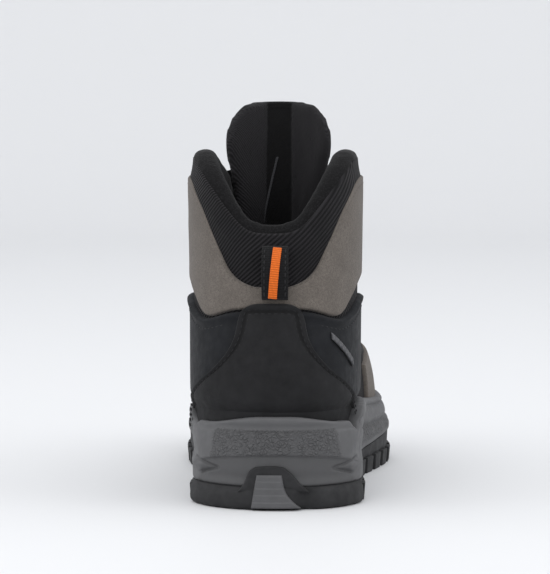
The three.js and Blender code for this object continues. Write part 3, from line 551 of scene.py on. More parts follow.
def suede(name, colour):
    """Napped suede: mottled tone, brushed patches and a fine fibrous surface."""
    m = Shading(name, colour, 0.95, Sheen_Weight=0.08, Sheen_Roughness=0.5)
    brushed = m.blend(m.range(m.noise(95, 6, 0.72), 0.34, 0.66), shade(colour, 0.72), shade(colour, 1.2))
    fibre = m.noise(2600, 3, 0.7)
    speck = m.math("MULTIPLY", m.range(fibre, 0.35, 0.7), 0.6)
    tone = m.blend(m.range(m.noise(900, 3, 0.7), 0.36, 0.64), shade(colour, 0.62), brushed)
    m.colour(m.blend(speck, tone, shade(colour, 1.7)))
    return m.bump((m.noise(150, 5, 0.6), 0.3, 0.8), (m.noise(900, 4, 0.7), 0.4, 0.3), (fibre, 0.6, 0.12))


def ribbed_mesh(name, colour, pitch=1.6):
    """Black mesh with fine slanting ribs, painted highlight on the rib crests and painted shade in the gaps
    between its threads.
    """
    m = Shading(name, colour, 0.85, Sheen_Weight=0.04, Sheen_Roughness=0.4)
    rib = m.ribs(0.6, -0.8, pitch)
    cross = m.ribs(0.8, 0.6, pitch * 0.62)
    # Painted highlight on the rib crests and painted shade in the gaps, following the bump's rib wave.
    crest_highlight = m.blend(m.noise(120, 3), shade(colour, 1.3), shade(colour, 2.6))
    m.colour(m.blend(rib, shade(colour, 0.4), crest_highlight))
    return m.bump((rib, 0.9, 0.5), (cross, 0.3, 0.12), (m.noise(3000, 2), 0.2, 0.05))


def knit(name, colour, pitch=0.9):
    """Smooth lining knit: a fine grid of loops over a soft pad."""
    m = Shading(name, colour, 0.9, Sheen_Weight=0.05, Sheen_Roughness=0.45)
    loops = m.math("MULTIPLY", m.cells(1000 / pitch), 1.4)
    m.colour(m.blend(m.range(loops, 0.1, 0.75), shade(colour, 1.7), shade(colour, 0.55)))
    return m.bump((m.noise(90, 3), 0.15, 1.0), (loops, 0.5, 0.25))


def midsole_foam(name, colour):
    """Moulded foam: fine pores, dusty variation, a crinkled skin with painted shade in its creases where the
    band mask says so, and painted shade where the under mask says so.
    """
    m = Shading(name, colour, 0.62, Specular_IOR_Level=0.35)
    dust = m.blend(m.range(m.noise(55, 4, 0.6), 0.3, 0.7), shade(colour, 0.9), shade(colour, 1.1))
    band = m.attribute("band")
    grain = m.noise(430, 3, 0.6)
    crease = m.range(m.cells(560, "DISTANCE_TO_EDGE"), 0.0, 0.28)
    skin = m.math("MULTIPLY", crease, m.range(grain, 0.3, 0.62))
    # Painted shade in the crinkle's creases, which lie low in the bump.
    crease_shade = m.math("MULTIPLY", band, m.math("SUBTRACT", 1.0, skin))
    dust_and_crease_shade = m.blend(m.math("MULTIPLY", crease_shade, 0.45), dust, shade(colour, 0.4))
    # Painted shade below the crinkled band at the heel, under its ledge.
    m.colour(m.blend(m.math("MULTIPLY", m.attribute("under"), 0.8), dust_and_crease_shade, shade(colour, 0.66)))
    m.roughness(m.range(m.noise(300, 3), 0.2, 0.8, 0.5, 0.72))
    return m.bump((m.math("MULTIPLY", band, skin), 0.9, 0.9), (m.noise(1500, 3), 0.15, 0.1))


def rubber(name, colour, dust=1.5):
    """Matte moulded rubber with grey dust in its grain."""
    m = Shading(name, colour, 0.7, Specular_IOR_Level=0.3)
    m.colour(m.blend(m.range(m.noise(130, 5, 0.7), 0.4, 0.75), colour, shade(colour, dust)))
    m.roughness(m.range(m.noise(220, 3), 0.2, 0.8, 0.55, 0.85))
    return m.bump((m.noise(420, 4, 0.6), 0.18, 0.3), (m.noise(2500, 2), 0.25, 0.06))


def webbing(name, colour, pitch=1.3):
    """Woven tape: picks across it and warp ends along it, with painted highlight on the weave's crests and
    painted shade between them.
    """
    m = Shading(name, colour, 0.82, Sheen_Weight=0.04)
    warp = m.ribs(1.0, 0.0, pitch * 0.55)
    pick = m.ribs(0.0, 1.0, pitch)
    weave = m.math("MULTIPLY", warp, pick)
    # Painted highlight and shade: lighter where the weave stands high in the bump, darker between.
    m.colour(m.blend(m.range(weave, 0.0, 0.8), shade(colour, 0.55), shade(colour, 1.25)))
    return m.bump((weave, 0.7, 0.25), (m.noise(2600, 2), 0.25, 0.06))


def tongue_cloth(name, colour, channel=8.0):
    """Padded tongue: fine slanting knit with painted highlight on its rib crests, and darker in the channel
    between its halves.
    """
    m = Shading(name, colour, 0.9, Sheen_Weight=0.05, Sheen_Roughness=0.45)
    rib = m.ribs(1.0, 0.7, 1.0)
    # Painted highlight on the rib crests, following the bump's rib wave.
    halves = m.blend(rib, shade(colour, 1.2), shade(colour, 3.2))
    distance = m.math("ABSOLUTE", m.attribute("along"))
    in_channel = m.range(distance, channel + 0.7, channel - 0.2)
    m.colour(m.blend(in_channel, halves, shade(colour, 0.5)))
    return m.bump((m.noise(110, 3), 0.15, 0.8), (rib, 0.6, 0.3), (m.noise(3000, 2), 0.25, 0.06))


def braid(name, colour):
    """Round braided cord: two families of slanting strands, with painted highlight on the strands and painted
    shade between them.
    """
    m = Shading(name, colour, 0.8, Sheen_Weight=0.04)
    one = m.ribs(1.0, 0.8, 1.5)
    other = m.ribs(-1.0, 0.8, 1.5)
    strands = m.math("MAXIMUM", one, other)
    # Painted highlight on the strands and painted shade between them, following the bump's strand wave.
    m.colour(m.blend(m.range(strands, 0.4, 1.0), shade(colour, 0.6), shade(colour, 1.8)))
    return m.bump((strands, 0.8, 0.35), (m.noise(2800, 2), 0.2, 0.05))


def thread(name, colour):
    """Sewing thread."""
    m = Shading(name, colour, 0.75, Sheen_Weight=0.04)
    m.colour(m.blend(m.noise(1800, 2), shade(colour, 0.7), shade(colour, 1.3)))
    return m.bump((m.noise(3200, 2), 0.4, 0.08))


def brushed_metal(name, colour):
    """Dark brushed steel."""
    m = Shading(name, colour, 0.35, Metallic=1.0, Specular_IOR_Level=0.5)
    m.colour(m.blend(m.noise(160, 4, 0.7), shade(colour, 0.75), shade(colour, 1.15)))
    m.roughness(m.range(m.noise(700, 3), 0.2, 0.8, 0.25, 0.5))
    return m.bump((m.noise(2200, 3), 0.2, 0.04))


def board(name, colour, scale=600):
    """Fibre board that is sealed inside the boot."""
    m = Shading(name, colour, 0.9)
    m.colour(m.blend(m.noise(scale, 4, 0.7), shade(colour, 0.75), shade(colour, 1.2)))
    return m.bump((m.noise(scale * 2, 3), 0.4, 0.2))


# ---------------------------------------------------------------- sizes and colours a user would change
class BootSizes(bpy.types.PropertyGroup):
    """Sizes of the sewn and moulded details, in metres."""


    stitch_length: bpy.props.FloatProperty(
        name="Stitch length", description="Length of one thread stitch", default=0.0021, unit="LENGTH")
    rib_pitch: bpy.props.FloatProperty(
        name="Rib pitch", description="Spacing of the ribs in the collar mesh", default=0.0016, unit="LENGTH")
    lace_diameter: bpy.props.FloatProperty(
        name="Lace diameter", description="Thickness of the round lace", default=0.0036, unit="LENGTH")
    camera_distance: bpy.props.FloatProperty(
        name="Camera distance", description="From the back of the heel to the camera", default=1.378,
        unit="LENGTH")


def colour_property(name, description, default):
    return bpy.props.FloatVectorProperty(
        name=name, description=description, default=default, size=3, subtype="COLOR", min=0, max=1)


class BootColours(bpy.types.PropertyGroup):
    """Base colours of the boot's materials."""

    leather: colour_property("Nubuck", "Vamp, eyestays and heel counter", (0.0085, 0.0085, 0.0092))
    quarter: colour_property("Quarter leather", "Side panels", (0.0075, 0.0082, 0.0100))
    suede: colour_property("Suede", "Collar panel and forefoot panels", (0.105, 0.092, 0.081))
    textile: colour_property("Mesh", "Ribbed mesh of collar and sides", (0.0085, 0.0080, 0.0088))
    lining: colour_property("Lining", "Smooth knit inside", (0.0065, 0.0062, 0.0068))
    midsole: colour_property("Midsole", "Moulded foam", (0.085, 0.085, 0.088))
    outsole: colour_property("Outsole", "Black rubber", (0.014, 0.014, 0.015))
    insert: colour_property("Heel insert", "Grey rubber", (0.075, 0.075, 0.078))
    stripe: colour_property("Stripe", "Orange stripe of the pull loop", (0.72, 0.145, 0.018))
    webbing: colour_property("Webbing", "Pull loop and lace loops", (0.0065, 0.0065, 0.0072))
    metal: colour_property("Metal", "Hooks and side mark", (0.11, 0.11, 0.115))
    floor: colour_property("Floor", "Stage floor and backdrop", (0.69, 0.695, 0.705))


def sizes():
    return bpy.context.scene.boot_sizes


def tint(name):
    return tuple(getattr(bpy.context.scene.boot_colours, name))


MADE = {}


def finish_of(kind):
    """Each material is made once."""
    if kind not in MADE:
        MADE[kind] = MATERIALS[kind]()
    return MADE[kind]


MATERIALS = {
    "nubuck": lambda: nubuck("nubuck", tint("leather")),
    "counter": lambda: nubuck("counter_nubuck", shade(tint("leather"), 1.25), channel=4.4),
    "quarter": lambda: nubuck("quarter_leather", tint("quarter"), wear=1.4),
    "suede": lambda: suede("suede", tint("suede")),
    "mesh": lambda: ribbed_mesh("ribbed_mesh", tint("textile"), sizes().rib_pitch / MM),
    "knit": lambda: knit("lining_knit", tint("lining")),
    "midsole": lambda: midsole_foam("midsole_foam", tint("midsole")),
    "outsole": lambda: rubber("outsole_rubber", tint("outsole")),
    "insert": lambda: rubber("insert_rubber", tint("insert"), dust=1.15),
    "webbing": lambda: webbing("webbing", tint("webbing")),
    "stripe": lambda: webbing("stripe_weave", tint("stripe"), pitch=1.1),
    "thread": lambda: thread("thread", shade(tint("leather"), 2.0)),
    "grey_thread": lambda: thread("grey_thread", shade(tint("suede"), 0.8)),
    "tongue": lambda: tongue_cloth("tongue_cloth", tint("lining")),
    "lace": lambda: braid("lace_braid", tint("webbing")),
    "tape": lambda: webbing("seam_tape", (0.055, 0.055, 0.060), pitch=0.8),
    "metal": lambda: brushed_metal("dark_metal", tint("metal")),
    "board": lambda: board("fibre_board", (0.30, 0.27, 0.22)),
}


# ---------------------------------------------------------------- layers, in millimetres over the lining line
SHELL_OUT = 1.5
OVERLAY_OUT = 3.6
OVERLAY = (1.5, OVERLAY_OUT)  # from the rolled edge's underside to the outer face
TOP_LOW, TOP_OUT = 4.2, 5.7
TUCK = 8  # how far panels run down behind the midsole's lip
RUN_DOWN = 50  # reach from the ankle's middle to the sole line around the heel
THREAD_SINK = 0.05  # from a thread's middle to the face that it is sewn on
HEEL_TURN = 112
COLLAR_TURN = 157
SIDES = (("lateral", 1), ("medial", -1))


def sole_line(turn):
    """Lower edge of a panel around the heel, tucked behind the midsole."""
    return feather(ANKLE_Y - RUN_DOWN * np.cos(np.radians(turn))) - TUCK


def side_end(share, side, heel_limit=HEEL_TURN - 0.5):
    """The turn at which a section across the foot meets the sole edge or the heel shell."""
    low, high = np.zeros_like(share), np.full(share.shape, 150.0)
    for _ in range(14):
        half = (low + high) / 2
        p, _ = across_foot(share, side * half)
        turn = np.degrees(np.arctan2(np.abs(p[..., 0]), ANKLE_Y - p[..., 1]))
        keeps = (p[..., 2] > feather(p[..., 1]) - TUCK) & (turn > heel_limit)
        low, high = np.where(keeps, half, low), np.where(keeps, high, half)
    return low


def side_place(side, share_from, share_to, start, width=None):
    """A place for a panel beside the lace opening, as wide as given or down to the sole."""
    def place(s, t):
        share = mix(share_from, share_to, s)
        first = throat_turn(share) + start
        if width is None:
            line = np.unique(share[:, 0])
            last = np.interp(share, line, side_end(line, side))
        else:
            last = first + width
        return across_foot(share, side * mix(first, last, t))
    return place


def tuck_in(p, by):
    """Draws a layer in towards the last where it runs down behind the midsole."""
    rise = p[..., 2] - feather(p[..., 1])
    return -by * ease(rise, 8, -1.5)


def dimples(depth, period_along, period_up):
    """Soft unevenness of leather pulled over a last."""
    def relief(along, up, edge, p):
        wave = np.sin(p[..., 0] / period_along + 1.7 * np.sin(p[..., 2] / period_up))
        return depth * wave * np.sin(p[..., 1] / period_along + p[..., 2] / period_up) * ease(edge, 2, 14)
    return relief


class BOOT_OT_shell(bpy.types.Operator):
    """Ribbed mesh shell around the heel, and along both sides of the foot"""

    bl_idname = "boot.shell"
    bl_label = "Textile shell"

    def execute(self, context):
        def swell(along, up, edge, p):
            z = p[..., 2]
            belly = 1.6 * ease(z, 108, 128) * (1 - ease(z, 150, 168)) * ease(edge, 0, 12)
            return belly + tuck_in(p, 1.4)

        around = heel_place(-HEEL_TURN, HEEL_TURN, sole_line, lambda turn: rim(turn) - 3.5)
        layer("heel_shell_mesh", "heel_shell", "textile_black", "mesh", around,
              0.0, SHELL_OUT, (110, 70), 1.2, relief=swell)
        for word, side in SIDES:
            layer(f"side_shell_mesh_{word}", f"side_shell_{word}", "textile_black", "mesh",
                  side_place(side, 0.235, 0.872, 0), 0.0, SHELL_OUT, (70, 50), 1.2)
        return {"FINISHED"}


class BOOT_OT_suede(bpy.types.Operator):
    """Suede collar panel around the back of the ankle"""

    bl_idname = "boot.suede"
    bl_label = "Suede collar panel"

    def execute(self, context):
        place = heel_place(-108, 108, suede_bottom, suede_top)
        layer("suede_collar_panel", "suede_collar", "suede_grey", "suede", place,
              *OVERLAY, (130, 34), 1.1, relief=dimples(0.25, 9, 7))
        sew("suede_stitching_1", place, (0.01, 0.99, 240), 0.93, OVERLAY_OUT - 0.1,
            kind="grey_thread", slot="suede_grey", radius=0.3)
        return {"FINISHED"}


class BOOT_OT_quarters(bpy.types.Operator):
    """Leather quarters with a rolled top edge"""

    bl_idname = "boot.quarters"
    bl_label = "Quarters"

    def execute(self, context):
        def rolled(along, up, edge, p):
            roll = 1.1 * bell(up[:, -1:] - up, 1.8, 1.5)
            return roll + 0.2 * np.sin(p[..., 1] / 11) * ease(edge, 3, 12) + tuck_in(p, 3.2)

        for word, side in SIDES:
            place = heel_place(side * 9, side * 150, sole_line, quarter_top)
            layer(f"quarter_panel_{word}", f"quarter_{word}", "leather_black", "quarter", place,
                  *OVERLAY, (90, 44), 1.6, relief=rolled, open_edges="c")
            sew(f"quarter_stitching_{word}", place, (0.12, 0.98, 220), 0.9, OVERLAY_OUT - THREAD_SINK)
        return {"FINISHED"}


COUNTER_TOP = 97.5
counter_turn = curve(
    (0, 70), (0.3, 54), (0.42, 41), (0.5, 32), (0.63, 23.3), (0.76, 18.8), (0.93, 16.8), (1, 14.8))


def counter_place(s, t):
    """The heel counter: a tombstone at the top that flares along the sole."""
    across = mix(-1, 1, s)
    top = COUNTER_TOP - 3.4 * np.abs(across) ** 5
    low = sole_line(across * 60) - 2
    return around_heel(across * counter_turn(t), mix(low, top, t))


class BOOT_OT_counter(bpy.types.Operator):
    """Nubuck heel counter with a thick rolled edge and a double row of stitches"""

    bl_idname = "boot.counter"
    bl_label = "Heel counter"

    def execute(self, context):
        def edge_swell(along, up, edge, p):
            rope = 0.7 * bell(edge, 1.6, 1.2)
            channel = -0.35 * bell(edge, 4.3, 0.9)
            soft = 0.25 * np.sin(p[..., 2] / 9 + p[..., 0] / 17) * ease(edge, 6, 18)
            return rope + channel + soft + tuck_in(p, 4.6)

        layer("counter_panel", "counter", "leather_black", "counter", counter_place,
              TOP_LOW - 1.2, TOP_OUT, (120, 90), 1.7, relief=edge_swell, open_edges="c", fine=0.04)
        for number, inset in ((1, 3.4), (2, 5.6)):
            p, n = inset_outline(counter_place, inset)
            stitch_row(f"counter_stitching_{number}", p + n * (TOP_OUT - 0.25), n)
        return {"FINISHED"}


def inset_outline(place, inset):
    """A line that stays an inset inside the edges s = 0, t = 1 and s = 1 of a placed panel."""
    columns, rows = 160, 120
    s, t = np.meshgrid(np.linspace(0, 1, columns + 1), np.linspace(0, 1, rows + 1), indexing="ij")
    p, n = place(s, t)
    along, up = run_length(p, 0), run_length(p, 1)
    from_left, from_right, from_top = along, along[-1:] - along, up[:, -1:] - up
    picked = []
    for j in range(3, rows + 1):
        i = int(np.searchsorted(from_left[:, j], inset))
        if i < columns // 2 and from_top[i, j] > inset:
            picked.append((i, j))
    for i in range(columns + 1):
        j = int(np.searchsorted(-from_top[i], -inset))
        if j < rows and from_left[i, j] > inset and from_right[i, j] > inset:
            picked.append((i, j))
    for j in range(rows, 2, -1):
        i = columns - int(np.searchsorted(from_right[::-1, j], inset))
        if i > columns // 2 and from_top[i, j] > inset:
            picked.append((i, j))
    i, j = np.array(picked).T
    points, normals = p[i, j], n[i, j]
    for _ in range(12):
        points[1:-1] = (points[:-2] + 2 * points[1:-1] + points[2:]) / 4
    return points, normals


# ---------------------------------------------------------------- sole unit
HEEL_ASIDE = 1.9  # the sole unit stands this far to the outer side under the heel


def sole_outline(count):
    """Points, outward directions and distances around the sole, from the heel, + to the lateral side."""
    y = SOLE_LENGTH * (1 - np.cos(np.linspace(0, math.pi, 500))) / 2
    aside = HEEL_ASIDE * (1 - ease(y, 90, 180))
    lateral = np.stack([sole_edge(y, 1, 0) + aside, y], -1)
    medial = np.stack([sole_edge(y, -1, 0) + aside, y], -1)[::-1]
    loop = np.concatenate([lateral, medial[1:]])
    total = run_length(loop, 0)
    at = np.linspace(0, total[-1], count, endpoint=False)
    p = np.stack([np.interp(at, total, loop[:, k]) for k in (0, 1)], -1)
    for _ in range(6):
        p = (np.roll(p, 1, 0) + 2 * p + np.roll(p, -1, 0)) / 4
    run = np.roll(p, -1, 0) - np.roll(p, 1, 0)
    out = np.stack([run[:, 1], -run[:, 0]], -1)
    out /= np.linalg.norm(out, axis=-1, keepdims=True)
    around = np.where(at > total[-1] / 2, at - total[-1], at)
    return p, out, around


def ring_body(name, rings, material):
    """A closed body from rings of points, stacked from the bottom centre to the top centre."""
    count = len(rings[0])
    faces = tube_faces(len(rings), count)[:-2]
    half = count // 2
    for base, flip in ((0, True), ((len(rings) - 1) * count, False)):
        for k in range(half):
            other, after = (count - k) % count, count - k - 1
            corners = list(dict.fromkeys([base + k, base + k + 1, base + after, base + other]))
            faces.append(tuple(corners[::-1] if flip else corners))
    return new_object(name, to_frame(np.concatenate(rings)), faces, material)


def bell(x, middle, width):
    """1 at the middle, falling smoothly to 0 over the width."""
    return np.exp(-((x - middle) / width) ** 2)


def midsole_relief(around, z, y):
    """How far the moulded side stands proud of the plain outline, at a place on it."""
    back = np.abs(around)
    low, top = tread_high(y), feather(y)
    share = (z - low) / (top - low)
    heel = 1 - ease(back, 42, 60)
    behind = 1 - ease(back, 40, 58)
    lip = 0.9 * ease(share, 0.86, 0.95) - 0.9 * bell(share, 0.84, 0.035) * (1 - behind)
    waist = -0.9 * bell(share, 0.42, 0.18) * (1 - behind)
    arch = heel_arch(back)
    shelf = behind * (1.3 * ease(z, arch - 0.6, arch + 0.6) * ease(z, 37.6, 36.8) - 0.5 * bell(z, 15.5, 2.5))
    flange = (1 - ease(back, 56, 74)) * ease(back, 30, 42) * 1.2 * bell(z, 20.4, 3.2)
    notch = groove(back, z, (31, 19.1), (49, 23.4)) + groove(back, z, (31, 19.1), (47, 15.6))
    sweep = 1.1 * bell(z, mix(low, top, 0.72 - 0.3 * ease(back, 60, 190)), 1.5) * ease(back, 58, 75)
    ribs = 0.8 * ease(back, 95, 120) * (1 - ease(back, 250, 280)) * bell(share, 0.3, 0.2)
    ribs = ribs * np.abs(np.sin(back / 7.5))
    narrow = -0.6 * (1 - ease(back, 60, 90)) * ease(back, 10, 34)
    return lip + waist + shelf + flange - 1.5 * np.minimum(notch, 1) - sweep + ribs + narrow


def heel_arch(back):
    """Height of the arched lower edge of the crinkled band."""
    return 26.2 - 1.9 * (back / 30) ** 2


def groove(back, z, start, end):
    """A thin cut in the side wall between two (distance round from the heel, height) points."""
    slope = (end[1] - start[1]) / (end[0] - start[0])
    off = np.abs(z - start[1] - slope * (back - start[0])) / math.hypot(1, slope)
    ends = ease(back, start[0] - 0.8, start[0] + 0.4) * ease(back, end[0] + 1, end[0] - 1)
    return np.exp(-((off / 0.65) ** 2)) * ends


def crinkle_mask(around, z, y):
    """1 inside the crinkled band at the back of the midsole, and in a band along its sides."""
    back = np.abs(around)
    arch = heel_arch(back)
    reach = 33 - (z - 26) * 0.25
    heel = ease(z, arch, arch + 0.8) * ease(z, 38.8, 37.8) * (1 - ease(back, reach, reach + 2.5))
    share = (z - tread_high(y)) / (feather(y) - tread_high(y))
    side = ease(back, 70, 78) * ease(share, 0.1, 0.16) * ease(share, 0.5, 0.42) * (1 - ease(back, 230, 250))
    return np.clip(heel + side, 0, 1)


class BOOT_OT_midsole(bpy.types.Operator):
    """Foam midsole with its flanges, grooves and crinkled band"""

    bl_idname = "boot.midsole"
    bl_label = "Midsole"

    def execute(self, context):
        plan, out, around = sole_outline(620)
        y = plan[:, 1]
        back = np.abs(around)
        bottom, top = tread_high(y) + 0.2, feather(y) + 0.6
        top = top - 4.0 * ease(back, 6, 40) * ease(back, 64, 52) + 1.6 * bell(around, 95, 40)
        top = top - 5.5 * bell(around, 50, 4.5) - 2.0 * bell(around, -52, 4.5)
        rings, masks, smooth = [], [], []

        def add(inset, z, mask=0.0):
            flat = plan - out * np.asarray(inset)[..., None] * np.ones((len(plan), 1))
            rings.append(np.column_stack([flat, z]))
            masks.append(mask * np.ones(len(plan)))
            # The under mask: painted shade below the crinkled band's ledge at the heel.
            under = ease(z, heel_arch(back) + 0.5, heel_arch(back) - 0.5)
            smooth.append(under * (1 - ease(back, 34 + (26 - z), 38 + (26 - z))))

        add(14, bottom)
        edge = 0.05  # share of the height that rounds off at the bottom and at the top
        for row in refined(56, edge, 5):
            z = mix(bottom, top, row)
            corner = 1.3 * (1 - rounded(row, edge)) + 1.6 * (1 - rounded(1 - row, edge))
            slope = 6.5 * row * row * ease(y, 110, 170) * (1 - ease(y, 250, 285))
            inset = corner - midsole_relief(around, z, y) + 0.4 - 0.8 * row + slope
            add(inset, z, crinkle_mask(around, z, y))
        add(13.5, top - 0.4)
        add(14, top - 9)
        body = ring_body("midsole_body", rings, finish_of("midsole"))
        set_attribute(body, "band", np.concatenate(masks))
        set_attribute(body, "under", np.concatenate(smooth))
        finish_piece(body, "boot", "midsole_grey", "midsole")
        return {"FINISHED"}


def tread_low(y):
    """Height of the ground face of the lugs, which springs up at the toe."""
    return TOE_SPRING * np.maximum(0, (np.asarray(y, float) - 205) / (SOLE_LENGTH - 205)) ** 2


def block(bm, plan, low, high, flare=0.0, bevel=0.7):
    """A bevelled rubber block with its plan outline, added to a bmesh."""
    centre = np.mean(plan, axis=0)
    verts = []
    for lift in (0, 1):
        for corner in plan:
            away = (np.asarray(corner) - centre) * (1 - (0.0 if lift else flare)) + centre
            z = high(corner[1]) if lift else low(corner[1])
            verts.append(bm.verts.new(to_frame((away[0], away[1], z))))
    count = len(plan)
    faces = [bm.faces.new(verts[:count][::-1]), bm.faces.new(verts[count:])]
    for k in range(count):
        n = (k + 1) % count
        faces.append(bm.faces.new((verts[k], verts[n], verts[count + n], verts[count + k])))
    bmesh.ops.recalc_face_normals(bm, faces=faces)
    edges = list({e for f in faces for e in f.edges})
    bmesh.ops.bevel(bm, geom=edges, offset=bevel * MM, segments=2, affect="EDGES", profile=0.6)


LUG_PITCH = 17
LUG_LENGTH = 12
ARCH_FROM, ARCH_TO = 84, 112


INSERT_BACK = 5.0  # how deep the frame and the insert reach into the sole
INSERT_LOW, INSERT_HIGH = 1.2, 17


def heel_curve(x):
    """How far the back of the sole curves away beside the insert."""
    return 0.010 * (x - 2) ** 2


class BOOT_OT_outsole(bpy.types.Operator):
    """Black rubber outsole: plate, lugs and the raised frame at the back of the heel"""

    bl_idname = "boot.outsole"
    bl_label = "Outsole"

    def execute(self, context):
        rubber_black = finish_of("outsole")
        plan, out, _ = sole_outline(360)
        y = plan[:, 1]
        low, high = tread_low(y) + LUG_DEPTH, tread_high(y)
        section = ((9, low), (2.6, low), (1.7, low + 0.5), (1.3, mix(low, high, 0.4)),
                   (0.9, high - 0.6), (1.4, high), (9, high))
        rings = [np.column_stack([plan - out * inset, z]) for inset, z in section]
        plate = ring_body("outsole_plate", rings, rubber_black)
        finish_piece(plate, "boot", "rubber_black", "outsole")
        for piece in (self.lugs(rubber_black), self.heel_wall(rubber_black), self.heel_frame(rubber_black)):
            finish_piece(piece, "boot", "rubber_black")
        return {"FINISHED"}

    def lugs(self, material):
        """Rim lugs and chevrons down both sides, and the heel's middle lug."""
        bm = bmesh.new()
        for start in np.arange(5 + LUG_PITCH, SOLE_LENGTH - LUG_LENGTH - 4, LUG_PITCH):
            end = start + LUG_LENGTH
            aside = HEEL_ASIDE * (1 - float(ease(start, 90, 180)))
            if end > ARCH_FROM and start < ARCH_TO:
                continue
            for side in (1, -1):
                def between(at, share):
                    return float(mix(centre_x(at), sole_edge(at, side, 1.5), share))
                edge = [float(sole_edge(at, side, -0.6)) + aside for at in (start + 1, end)]
                rim_lug = [(between(start, 0.5), start + 2), (edge[0], start), (edge[1], end),
                           (between(end, 0.5), end + 2)]
                block(bm, rim_lug, tread_low, lambda at: float(tread_low(at)) + LUG_DEPTH + 3.4, 0.05)
                spine = float(centre_x(start)) + side
                chevron = [(spine, start + 5), (between(start, 0.36), start - 1),
                           (between(end, 0.36), end - 3), (spine, end + 2)]
                block(bm, chevron, tread_low, lambda at: float(tread_low(at)) + LUG_DEPTH + 1, 0.06)
        block(bm, [(-14, 4), (20, 4), (20, 15), (-14, 15)], lambda at: 0.2, lambda at: 5.5)
        return object_of(bm, "outsole_lugs", material)

    def heel_wall(self, material):
        """One thick lug that wraps the back of the heel, hollowed beside the insert."""
        plan, out, around = sole_outline(900)
        order = np.argsort(around)
        keep = order[np.abs(around[order]) < 56]
        plan, out = plan[keep], out[keep]
        section = ((-13, 0.6), (-1.2, 0.0), (0.3, 0.5), (1.3, 2.0), (1.5, 4.0), (1.0, 8.0), (0.4, 10.6),
                   (-0.6, 11.0), (-13, 10.6))
        hollow = 2.6 * bell(plan[:, 0], 16.5, 4.5) * (plan[:, 1] < 20)
        rows = []
        for offset, z in section:
            scoop = hollow * (z < 9) * (offset > -5)
            rows.append(np.column_stack([plan + out * (offset - scoop)[:, None], np.full(len(plan), z)]))
        points = to_frame(np.stack(rows, 1).reshape(-1, 3))
        return fix_normals(new_object("heel_wall", points, tube_faces(len(plan), len(section)), material))

    def heel_frame(self, material):
        """The raised tab that rises into the midsole around the insert."""
        bm = bmesh.new()
        tab = [(-16, 8.6), (-13.2, 12.2), (-10.4, 18.6), (-7.6, 20.6), (-3, 21.2), (3, 21.2),
               (6.6, 20.4), (10, 17.6), (14.2, 12.4), (18.4, 8.6)]
        front = [bm.verts.new(to_frame((x, -1.9 + heel_curve(x), z))) for x, z in tab]
        back = [bm.verts.new(to_frame((x, INSERT_BACK, z))) for x, z in tab]
        faces = [bm.faces.new(front), bm.faces.new(back[::-1])]
        for k in range(len(tab)):
            n = (k + 1) % len(tab)
            faces.append(bm.faces.new((front[n], front[k], back[k], back[n])))
        bmesh.ops.recalc_face_normals(bm, faces=faces)
        bmesh.ops.bevel(bm, geom=bm.edges[:], offset=0.8 * MM, segments=3, affect="EDGES", profile=0.6)
        frame_tab = object_of(bm, "heel_frame", material)
        frame_tab.data.shade_smooth()
        return frame_tab


class BOOT_OT_heel_insert(bpy.types.Operator):
    """Grey insert at the back of the outsole, with stepped ribs and a hollowed lateral side"""

    bl_idname = "boot.heel_insert"
    bl_label = "Heel insert"

    def execute(self, context):
        left = curve((INSERT_LOW, -9.4), (INSERT_HIGH, -6.9))
        right = curve((INSERT_LOW, 14.2), (3.5, 11.5), (6, 9.0), (9.5, 6.8), (INSERT_HIGH, 5.2))
        s, z = np.meshgrid(np.linspace(0, 1, 41), np.linspace(INSERT_LOW, INSERT_HIGH, 96), indexing="ij")
        x = mix(left(z), right(z), s)
        steps = sum(1.0 - ease(z, at - 0.5, at + 0.2) for at in (4.2, 7.6, 10.8, 14.0))
        side = np.minimum(s, 1 - s) * (right(z) - left(z))
        ends = np.minimum(side, np.minimum(z - INSERT_LOW, INSERT_HIGH - z))
        depth = -2.2 - 0.45 * steps + heel_curve(x) + 1 - rounded(ends, 1.0)
        outer = np.stack([x, depth, z], -1)
        inner = np.stack([x, np.full(x.shape, INSERT_BACK), z], -1)
        insert = grid_body("heel_insert_ribbed", outer, inner, finish_of("insert"))
        finish_piece(insert, "boot", "rubber_grey", "heel_insert")
        return {"FINISHED"}


# ---------------------------------------------------------------- front of the upper
VAMP_BACK = 0.245
TOE_Y = 232.4


def toe_dome(turn, rise):
    """Around the toe: turn from straight ahead, rise in degrees over the sole edge."""
    a, e = np.radians(turn), np.radians(rise)
    y = TOE_Y + (SOLE_LENGTH - TOE_Y) * np.maximum(0, np.cos(a))
    middle = np.full_like(a, float(centre_x(TOE_Y)))
    origin = np.stack([middle, np.full_like(a, TOE_Y), feather(y) - TUCK], -1)
    return on_last(origin, np.stack([np.sin(a) * np.cos(e), np.cos(a) * np.cos(e), np.sin(e)], -1))


def vamp_section(y, turn):
    """Across the forefoot at station y: turn in degrees from straight up."""
    a = np.radians(turn)
    origin = np.stack([centre_x(y), y, feather(y) - TUCK], -1)
    return on_last(origin, np.stack([np.sin(a), np.zeros_like(a), np.cos(a)], -1))


class BOOT_OT_vamp(bpy.types.Operator):
    """Nubuck vamp over the front of the foot"""

    bl_idname = "boot.vamp"
    bl_label = "Vamp"

    def execute(self, context):
        def creases(along, up, edge, p):
            x, y = p[..., 0], p[..., 1]
            flex = 0.6 * np.sin(y / 3.4 + 0.6 * np.sin(x / 9)) * bell(y, 196, 14)
            return flex * ease(edge, 2, 12) + 0.25 * np.sin(x / 13) * np.sin(y / 11)

        def place(s, t):
            limit = mix(0.0, VAMP_BACK, t)
            line = np.unique(limit)
            medial, lateral = (np.interp(limit, line, side_end(line, side, -1)) for side in (-1, 1))
            return across_foot(limit, mix(-medial, lateral, s))

        layer("vamp_panel", "vamp", "leather_black", "nubuck", place, 0.0, SHELL_OUT, (110, 46), 1.4,
              relief=creases, open_edges="cab")
        return {"FINISHED"}


